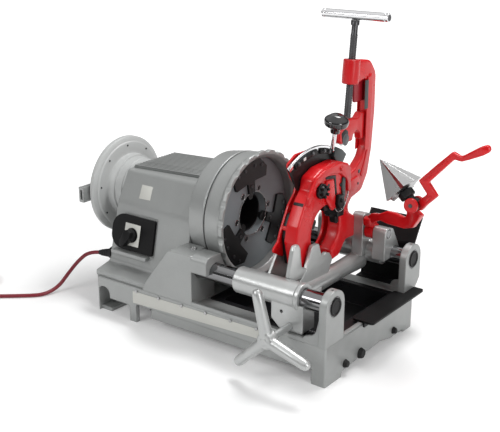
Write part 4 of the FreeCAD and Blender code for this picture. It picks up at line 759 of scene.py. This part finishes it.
def carriage_details():
    """The saddle's front prong, and the feed wheel's hub and tapered spokes."""
    prong = casting([(-168, 212, 4), (-152, 272, 6), (-146, 281, 5), (-131, 281, 6),
                     (-124, 270, 6), (-117, 222, 8), (-88, 210, 5), (-84, 192, 5),
                     (-156, 200, 5)], 211.4, 12)
    keep("saddle_prong", prong, "carriage", "cast_pale", rounding=0.0032,
         segments=3)
    centre = Vector((0.250, -0.287, 0.117))
    wheel = turned([(-0.013, 0), (-0.013, 0.0155), (-0.0105, 0.0190), (0.004, 0.0225),
                    (0.010, 0.0225), (0.0138, 0.0185), (0.0138, 0)], (0, 1, 0), centre, 48)
    for turn in (104, 224, 344):
        angle = math.radians(turn)
        way = Vector((math.cos(angle), -0.018, math.sin(angle)))
        spoke = turned([(0.004, 0), (0.004, 0.0148), (0.030, 0.0140), (0.070, 0.0128),
                        (0.101, 0.0120), (0.108, 0.0104), (0.1125, 0.0068), (0.114, 0)],
                       way, centre, 32)
        join(wheel, spoke)
    body = keep("feed_wheel_casting", wheel, "feed_wheel", "cast_pale")
    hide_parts("feed_wheel")
    ring = turned([(-0.0150, 0), (-0.0150, 0.0072), (-0.0140, 0.0086), (-0.0128, 0.0086),
                   (-0.0128, 0)], (0, 1, 0), centre, 32)
    keep("feed_hub_nut", ring, "feed_wheel", "cast_pale")


MOUTH_STEPS = 28
HEAD_FACE = 210


def head_outline():
    """The die head's edge: round the hub, the open foot and the mouth, then the long front leg."""
    corners = [(-122, 276, 6), (-114, 312, 20), (-86, 362, 16), (-64, 384, 8), (-58, 412, 14),
               (-20, 427, 30), (50, 431, 40), (100, 414, 14), (102, 350, 30), (98, 296, 20),
               (150, 264, 6), (168, 246, 12), (152, 222, 12), (92, 226, 16), (62, 194, 10),
               (30, 190, 6)]
    for step in range(MOUTH_STEPS + 1):
        spot = around(-66 + 264.7 * step / MOUTH_STEPS, 61, 0, (0, 274))
        corners.append((spot.y, spot.z, 0))
    return corners + [(-68, 198, 6), (-104, 198, 8), (-112, 236, 14)]


def head_details():
    """The die head's raised arch and all that sits on its front face."""
    whole = casting(head_outline(), 174, 36)
    body = keep("head_casting", whole, "die_head", "tool_red", rounding=0.0055,
                segments=4, sharp=40)
    hub = turned([(0.1525, 0.0115), (0.1525, 0.0205), (0.154, 0.022), (0.176, 0.022),
                  (0.176, 0.0115), (0.1525, 0.0115)], (1, 0, 0), (0, *TOOL), 40)
    keep("head_hub_sleeve", hub, "die_head", "tool_red")
    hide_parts("die_head_frame")
    arch = casting([(-90, 352, 4), (-84, 374, 12), (-66, 398, 10), (-52, 414, 10), (-18, 425, 24),
                    (48, 429, 30), (92, 411, 12), (97, 352, 8), (84, 350, 4), (80, 380, 16),
                    (52, 401, 20), (14, 410, 20), (-24, 407, 20), (-52, 391, 14), (-70, 366, 10)],
                   HEAD_FACE - 1, 7)
    keep("head_arch", arch, "die_head", "tool_red", rounding=0.0028, segments=3)
    panel = casting([(-10, 398, 6), (22, 394, 5), (28, 360, 3), (30, 322, 4), (18, 318, 6),
                     (-8, 348, 8), (-12, 362, 10)], HEAD_FACE - 1, 6)
    keep("head_inner_panel", panel, "die_head", "tool_red", rounding=0.0018)
    channel = casting([(-8, 407, 1), (34, 401, 2), (42, 354, 1), (35, 352, 1), (28, 394, 2),
                       (-8, 400, 1)], HEAD_FACE - 0.5, 2)
    keep("head_l_channel", channel, "die_head", "black_steel", rounding=0.0004)
    dark = bmesh.new()
    disc(dark, (0.2150, -0.002, 0.385), (1, 0, 0), 0.0048, 0.0007, 20)
    disc(dark, (0.2096, 0.059, 0.372), (1, 0, 0), 0.0048, 0.0024, 20)
    keep("head_screw_holes", dark, "die_head", "black_steel")
    latch = casting([(38, 352, 4), (60, 350, 4), (66, 330, 4), (58, 314, 4), (44, 316, 3),
                     (36, 330, 3)], HEAD_FACE - 1, 11)
    join(latch, bar((0.2196, 0.050, 0.338), (0.2246, 0.050, 0.338), 0.0065, 20, 0.0055))
    keep("head_latch", latch, "die_head", "black_steel", rounding=0.0015)
    slate = casting([(62, 392, 5), (74, 386, 5), (76, 340, 6), (66, 336, 4), (60, 364, 6)],
                    HEAD_FACE - 1, 5)
    keep("head_scale_plate", slate, "die_head", "end_block", rounding=0.001)
    route = [(31, 322), (40, 309), (58, 307), (74, 314), (82, 330), (92, 352), (90, 372)]
    spring = round_line("latch_wire", [(0.2128, y * MM, z * MM) for y, z in route], 0.0014,
                        roundness=3, steps=12)
    spring.data.materials.append(LOOKS["bright_steel"])
    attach(spring, "die_head")
    slots = casting([(-91.2, 354.6, 0), (-87.8, 360.8, 0), (-86.2, 360.0, 0), (-89.6, 353.8, 0)],
                    178, 26)
    keep("head_left_slot", slots, "die_head", "black_steel", rounding=0.0003)
    die = casting([(45, 334, 3), (78, 326, 3), (76, 292, 3), (47, 294, 3)], 172, 39)
    keep("die_carrier", die, "die_head", "black_steel", rounding=0.002)
    teeth = bmesh.new()
    for low in (0.1750, 0.1810):
        block((low, 0.0490, 0.2905), (low + 0.0035, 0.072, 0.2940), teeth)
    keep("die_carrier_teeth", teeth, "die_head", "dark_steel", rounding=0.0006)
    screw = bmesh.new()
    screw_head(screw, (0.2155, 0.050, 0.414), (1, 0, 0), 0.0050, 0.004)
    keep("arch_screw", screw, "die_head", "tool_red")
    # A black sheet behind the die head's left leg, painted as the shade in the gap there.
    gap_shade_sheet = casting([(-112, 280, 4), (-106, 306, 8), (-92, 332, 8), (-84, 332, 4), (-78, 300, 8),
                      (-74, 262, 4), (-76, 212, 4), (-100, 212, 4), (-106, 240, 6)], 162.4, 11.2)
    keep("head_gap_shade", gap_shade_sheet, "die_head", "black_steel", rounding=0.001)
    grip = bmesh.new()
    for number in range(6):
        spot = around(60 * number + 20, 0.0118, 0, (-0.029, 0.378))
        bar((0.2112, spot.y, spot.z), (0.2272, spot.y, spot.z), 0.0042, 12, 0.0036, grip)
    keep("lock_knob_lobes", grip, "lock_knob", "black_plastic")


def cam_details():
    """The dies' sector: a bright rim, a black scale plate, a slate end block and the stem."""
    plate = bmesh.new()
    rim = bmesh.new()
    turned([(0.1680, 0.126), (0.1736, 0.126), (0.1736, 0.186), (0.1680, 0.186), (0.1680, 0.126)],
           (1, 0, 0), (0, *SPINDLE), 144, plate)
    turned([(0.1677, 0.184), (0.1737, 0.184), (0.1737, 0.1945), (0.1725, 0.1958),
            (0.1690, 0.1958), (0.1677, 0.1945), (0.1677, 0.184)], (1, 0, 0), (0, *SPINDLE), 144,
           rim)
    for shape in (plate, rim):
        for angle, keep_side in ((52, 1), (122, -1)):
            turn = math.radians(angle)
            normal = Vector((0, -math.sin(turn), math.cos(turn))) * keep_side
            everything = shape.verts[:] + shape.edges[:] + shape.faces[:]
            bmesh.ops.bisect_plane(shape, geom=everything, plane_co=(0, *SPINDLE),
                                   plane_no=normal, clear_inner=True)
            bmesh.ops.holes_fill(shape, edges=[edge for edge in shape.edges
                                               if edge.is_boundary], sides=60)
    sector = keep("cam_sector", plate, "cam_lever", "black_steel", rounding=0.0004)
    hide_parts("cam_plate")
    keep("cam_rim", rim, "cam_lever", "chrome", rounding=0.0004)
    scale = bmesh.new()
    for first, last in ((66, 84), (88, 116)):
        corners = [around(first + (last - first) * step / 8, 0.1895, 0.1734) for step in range(9)]
        corners += [around(last - (last - first) * step / 8, 0.1765, 0.1734) for step in range(9)]
        slab(corners, (1, 0, 0), 0.0040, scale)
    keep("cam_scale", scale, "cam_lever", "black_plastic", rounding=0.0008)
    studs = bmesh.new()
    for angle in (72, 79, 94, 112):
        spot = around(angle, 0.183, 0.1772)
        screw_head(studs, spot, (1, 0, 0), 0.0042, 0.0035)
    keep("cam_studs", studs, "cam_lever", "dark_steel")
    mark = slab([around(103, 0.1795, 0.1775), around(103, 0.1865, 0.1775),
                 around(106, 0.1865, 0.1775), around(106, 0.1795, 0.1775)], (1, 0, 0), 0.0005)
    keep("cam_mark", mark, "cam_lever", "white_mark")
    end = slab([around(51, 0.160, 0.1676), around(50.5, 0.199, 0.1676), around(57, 0.200, 0.1676),
                around(66, 0.1975, 0.1676), around(66, 0.174, 0.1676), around(60, 0.164, 0.1676)],
               (1, 0, 0), 0.0150)
    keep("cam_end_block", end, "cam_lever", "end_block", rounding=0.0012)
    stem = bmesh.new()
    foot, top = Vector((0.1707, 0.0800, 0.4420)), Vector((0.1792, 0.0760, 0.4880))
    length = (top - foot).length
    turned([(0, 0), (0, 0.0085), (0.006, 0.0085), (0.0075, 0.0062), (length - 0.004, 0.0056),
            (length, 0.0056), (length, 0)], top - foot, foot, 28, stem)
    keep("lever_stem", stem, "cam_lever", "chrome")


SCREW_LEAN = math.radians(5.8)
SCREW_PITCH = 0.004
THREAD_LENGTH = 0.200


def cutter_details():
    """The cutter's C-shaped frame, slider, screw and handle."""
    frame_shape = casting([
        (200, 638, 4), (232, 636, 14), (284, 630, 30), (314, 596, 36), (315, 500, 90),
        (306, 402, 90), (290, 336, 40), (262, 298, 20), (214, 288, 14), (190, 262, 16),
        (168, 226, 14), (136, 218, 12), (122, 240, 12), (136, 264, 10), (178, 304, 8),
        (176, 330, 6), (181, 347, 5), (228, 362, 14), (260, 386, 18), (274, 412, 12),
        (272, 560, 10), (266, 586, 12), (230, 580, 6), (200, 582, 4)], 126, 23)
    body = keep("cutter_casting", frame_shape, "cutter", "tool_red",
                rounding=0.0045, segments=3)
    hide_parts("cutter_frame")
    axis = Vector((0, math.sin(SCREW_LEAN), math.cos(SCREW_LEAN)))
    foot = Vector((0.1375, 0.198, 0.497))
    nut = turned([(0.083, 0.0094), (0.083, 0.0185), (0.0855, 0.0210), (0.110, 0.0215),
                  (0.1405, 0.0210), (0.143, 0.0185), (0.143, 0.0094), (0.083, 0.0094)], axis,
                 foot, 48)
    keep("cutter_nut_barrel", nut, "cutter", "tool_red")
    # The web behind the screw is painted in the darker red, as painted shade.
    web = casting([(221, 588, 2), (274, 588, 2), (275, 530, 2), (224, 530, 6)], 135, 6)
    keep("cutter_web", web, "cutter", "painted_shade_red", rounding=0.0008)
    guide = casting([(254, 583, 1), (271, 583, 1), (272, 510, 1), (255, 510, 1)], 152.4, 0.6)
    keep("guide_face", guide, "cutter", "end_block", rounding=0.0002)
    rib = casting([(280, 604, 10), (296, 590, 14), (298, 500, 60), (290, 402, 60), (276, 348, 20),
                   (262, 330, 8), (252, 342, 6), (268, 372, 16), (284, 420, 30), (286, 560, 20),
                   (276, 590, 6)], 148.4, 2.6)
    keep("cutter_outer_rib", rib, "cutter", "tool_red", rounding=0.0012)
    boss = casting([(196, 336, 8), (238, 344, 8), (252, 322, 10), (226, 304, 10), (194, 312, 8)],
                   148.2, 4.0)
    keep("cutter_elbow_boss", boss, "cutter", "tool_red", rounding=0.0016)
    pins = bmesh.new()
    for y, z in ((192, 334), (246, 352)):
        turned([(0, 0), (0, 0.0052), (0.0016, 0.0046), (0.0016, 0)], (1, 0, 0),
               (0.1492, y * MM, z * MM), 20, pins)
    disc(pins, (0.1522, 0.238, 0.322), (1, 0, 0), 0.0032, 0.0008, 16)
    keep("roller_pin_ends", pins, "cutter", "dark_steel")
    slide = casting([
        (152, 446, 8), (152, 470, 10), (164, 499, 10), (236, 491, 5), (250, 503, 6), (268, 502, 3),
        (266, 434, 4), (252, 433, 4), (247, 452, 10), (232, 463, 8), (216, 452, 8), (212, 438, 6),
        (160, 438, 6)], 128, 19)
    opening = casting([(159, 466, 4), (176, 474, 6), (190, 466, 4), (188, 446, 4), (164, 442, 4)],
                      146.6, 0.9)
    keep("slider_wheel_shade", opening, "cutter_slider", "black_steel",
         rounding=0.0003)
    piece = keep("slider_casting", slide, "cutter_slider", "tool_red", rounding=0.003,
                 segments=3)
    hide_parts("cutter_slider")
    rim = bmesh.new()
    turned([(0, 0), (0, 0.0080), (0.0003, 0.0092), (0.0005, 0.0150), (0.0008, 0.0150),
            (0.0012, 0.0078), (0.0015, 0.0070), (0.0015, 0)], (1, 0, 0), (0.1474, 0.178, 0.447),
           40, rim)
    keep("cut_wheel_front", rim, "cutter_wheel", "dark_steel")
    screw = bmesh.new()
    profile = [(0.0003, 0), (0.0003, 0.0080)]
    for number in range(int(THREAD_LENGTH / SCREW_PITCH)):
        along = 0.001 + number * SCREW_PITCH
        profile += [(along, 0.0080), (along + 0.0016, 0.0090), (along + 0.0028, 0.0090)]
    profile += [(THREAD_LENGTH + SCREW_PITCH, 0.0078), (0.2235, 0.0078), (0.2240, 0.0105),
                (0.2345, 0.0105), (0.2357, 0.0095), (0.2357, 0)]
    turned(profile, axis, foot, 24, screw)
    thread = keep("cutter_thread", screw, "cutter_screw", "dark_steel", sharp=50)
    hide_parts("cutter_screw")
    low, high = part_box("t_bar")
    middle = (Vector(low) + Vector(high)) / 2
    half = (high[0] - low[0]) / 2
    handle = bmesh.new()
    turned([(-half, 0), (-half, 0.0098), (-half + 0.0012, 0.0108), (-half + 0.007, 0.0108),
            (-half + 0.0078, 0.0099), (-half + 0.0090, 0.0099), (-half + 0.0098, 0.0110),
            (half - 0.0098, 0.0110), (half - 0.0090, 0.0099), (half - 0.0078, 0.0099),
            (half - 0.007, 0.0108), (half - 0.0012, 0.0108), (half, 0.0098), (half, 0)],
           (1, 0, 0), middle, 40, handle)
    tee = keep("cutter_handle", handle, "cutter_screw", "chrome")
    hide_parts("t_bar")
    ends = bmesh.new()
    for side in (-1, 1):
        disc(ends, middle + Vector((side * (half - 0.0002), 0, 0)), (side, 0, 0), 0.0076, 0.0006,
             28)
    keep("handle_end_shades", ends, "cutter_screw", "dark_steel")


TILT_PIVOT = (0.405, 0.055, 0.362)
CONE_EDGES = 5


def reamer_details():
    """The reamer's cranked arm with its fork, and the cone with five cutting edges."""
    pivot = Vector(TILT_PIVOT)
    across = Vector((0, -0.997, 0.073)).normalized()
    hub = turned([(0, 0.0112), (0, 0.0175), (0.002, 0.0190), (0.022, 0.0190), (0.024, 0.0175),
                  (0.024, 0.0112), (0, 0.0112)], (1, 0, 0), (0.238, *TOOL), 40)
    keep("reamer_hub", hub, "reamer_arm", "tool_red")
    ear = slab([(0.2395, 0.156, 0.258), (0.2395, 0.146, 0.276), (0.2395, 0.128, 0.284),
                (0.2395, 0.116, 0.278), (0.2395, 0.118, 0.262), (0.2395, 0.132, 0.252)],
               (1, 0, 0), 0.021)
    keep("reamer_ear", ear, "reamer_arm", "tool_red", rounding=0.004, segments=3)
    arm = swept([((250, 132, 272), 20, 18), ((264, 128, 283), 22, 18), ((286, 120, 291), 16, 17),
                 ((308, 116, 296), 30, 18), ((330, 111, 297), 30, 19), ((358, 104, 296), 26, 20),
                 ((380, 93, 306), 30, 24), ((392, 82, 326), 34, 28), ((404, 70, 345), 38, 32)],
                (0.1, -0.97, 0.2))
    body = keep("reamer_arm_bar", arm, "reamer_arm", "tool_red", rounding=0.0035,
                segments=3)
    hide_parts("reamer_arm")
    forks = bmesh.new()
    for side in (-1, 1):
        middle = pivot + across * side * 0.016
        turned([(-0.0038, 0), (-0.0038, 0.0155), (-0.0026, 0.0168), (0.0026, 0.0168),
                (0.0038, 0.0155), (0.0038, 0)], across, middle, 36, forks)
    keep("reamer_fork", forks, "reamer_arm", "tool_red")
    crank = swept([((413, 64, 356), 22, 18), ((430, 58, 374), 19, 16), ((449, 55, 392), 18, 15),
                   ((426, 55, 420), 18, 15), ((462, 55, 458), 17, 15), ((492, 55, 489), 15, 14),
                   ((510, 55, 484), 11, 12), ((526, 55, 492), 14, 14), ((554, 55, 508), 19, 18),
                   ((566, 55, 515), 17, 16), ((572, 55, 518), 9, 9)], (0.05, -1, 0.05))
    keep("reamer_crank", crank, "reamer_arm", "tool_red", rounding=0.0034, segments=3)
    ridge = swept([((433, 46.8, 377), 6, 3), ((446, 46.8, 390), 5, 3)], (0, -1, 0))
    swept([((430, 46.8, 424), 5, 3), ((462, 46.8, 458), 5, 3), ((484, 47.2, 481), 4, 3)],
          (0, -1, 0), ridge)
    keep("crank_ridges", ridge, "reamer_arm", "tool_red", rounding=0.001)
    pins = bmesh.new()
    for side in (-1, 1):
        turned([(0, 0), (0, 0.0050), (0.0018, 0.0042), (0.0018, 0)], across * side,
               pivot + across * side * 0.0197, 20, pins)
    keep("reamer_pin_ends", pins, "reamer_arm", "dark_steel")
    way = Vector((-0.74, 0.05, 0.68)).normalized()
    side = way.orthogonal().normalized()
    base = pivot + way * 0.0392
    cone = bmesh.new()
    spots = []
    for number in range(CONE_EDGES):
        for turn, radius in ((0, 0.049), (60, 0.036)):
            angle = math.radians(360 / CONE_EDGES * number + turn + 20)
            spoke = Matrix.Rotation(angle, 3, way) @ side
            spots.append(cone.verts.new(base + spoke * radius))
    cone.faces.new(spots)
    for tip in pushed_out(cone, list(cone.faces)):
        tip.co = base + way * 0.090 + (tip.co - base) * 0.03
    blade = keep("reamer_blades", cone, "reamer", "bright_steel", sharp=12)
    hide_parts("reamer_cone")
    socket = turned([(-0.020, 0), (-0.020, 0.0165), (-0.017, 0.019), (-0.004, 0.019),
                     (-0.001, 0.0165), (-0.001, 0)], way, base, 6)
    keep("reamer_socket", socket, "reamer", "black_steel", rounding=0.0015)


def front_wall(x, z):
    """The place on the housing's sloping upper front wall at a length and a height, in mm."""
    along = (x + 350) / 260
    low, high = -114 - 18 * along, -72 - 20 * along
    share = (z - 271) / (75 + 11 * along)
    return Vector((x, low + (high - low) * share, z)) * MM


def housing_marks():
    """The bare card on the housing's upper front wall."""
    corners = [front_wall(*spot) for spot in ((-281, 287), (-241, 289), (-245, 320), (-284, 319))]
    card = slab(corners, (0.07, -0.88, 0.47), 0.0009)
    keep("housing_bare_card", card, "base", "label", rounding=0.0002)


LOOKS = make_finishes()
place_camera()
cord = lay_cord()
cord.data.materials.append(LOOKS["cord_red"])
make_floor()
make_world()
make_lamps()
dress_nodes()
base_details()
housing_details()
housing_marks()
rear_wheel_details()
chuck_details()
carriage_details()
head_details()
cam_details()
cutter_details()
reamer_details()

scene.view_settings.view_transform = "Standard"
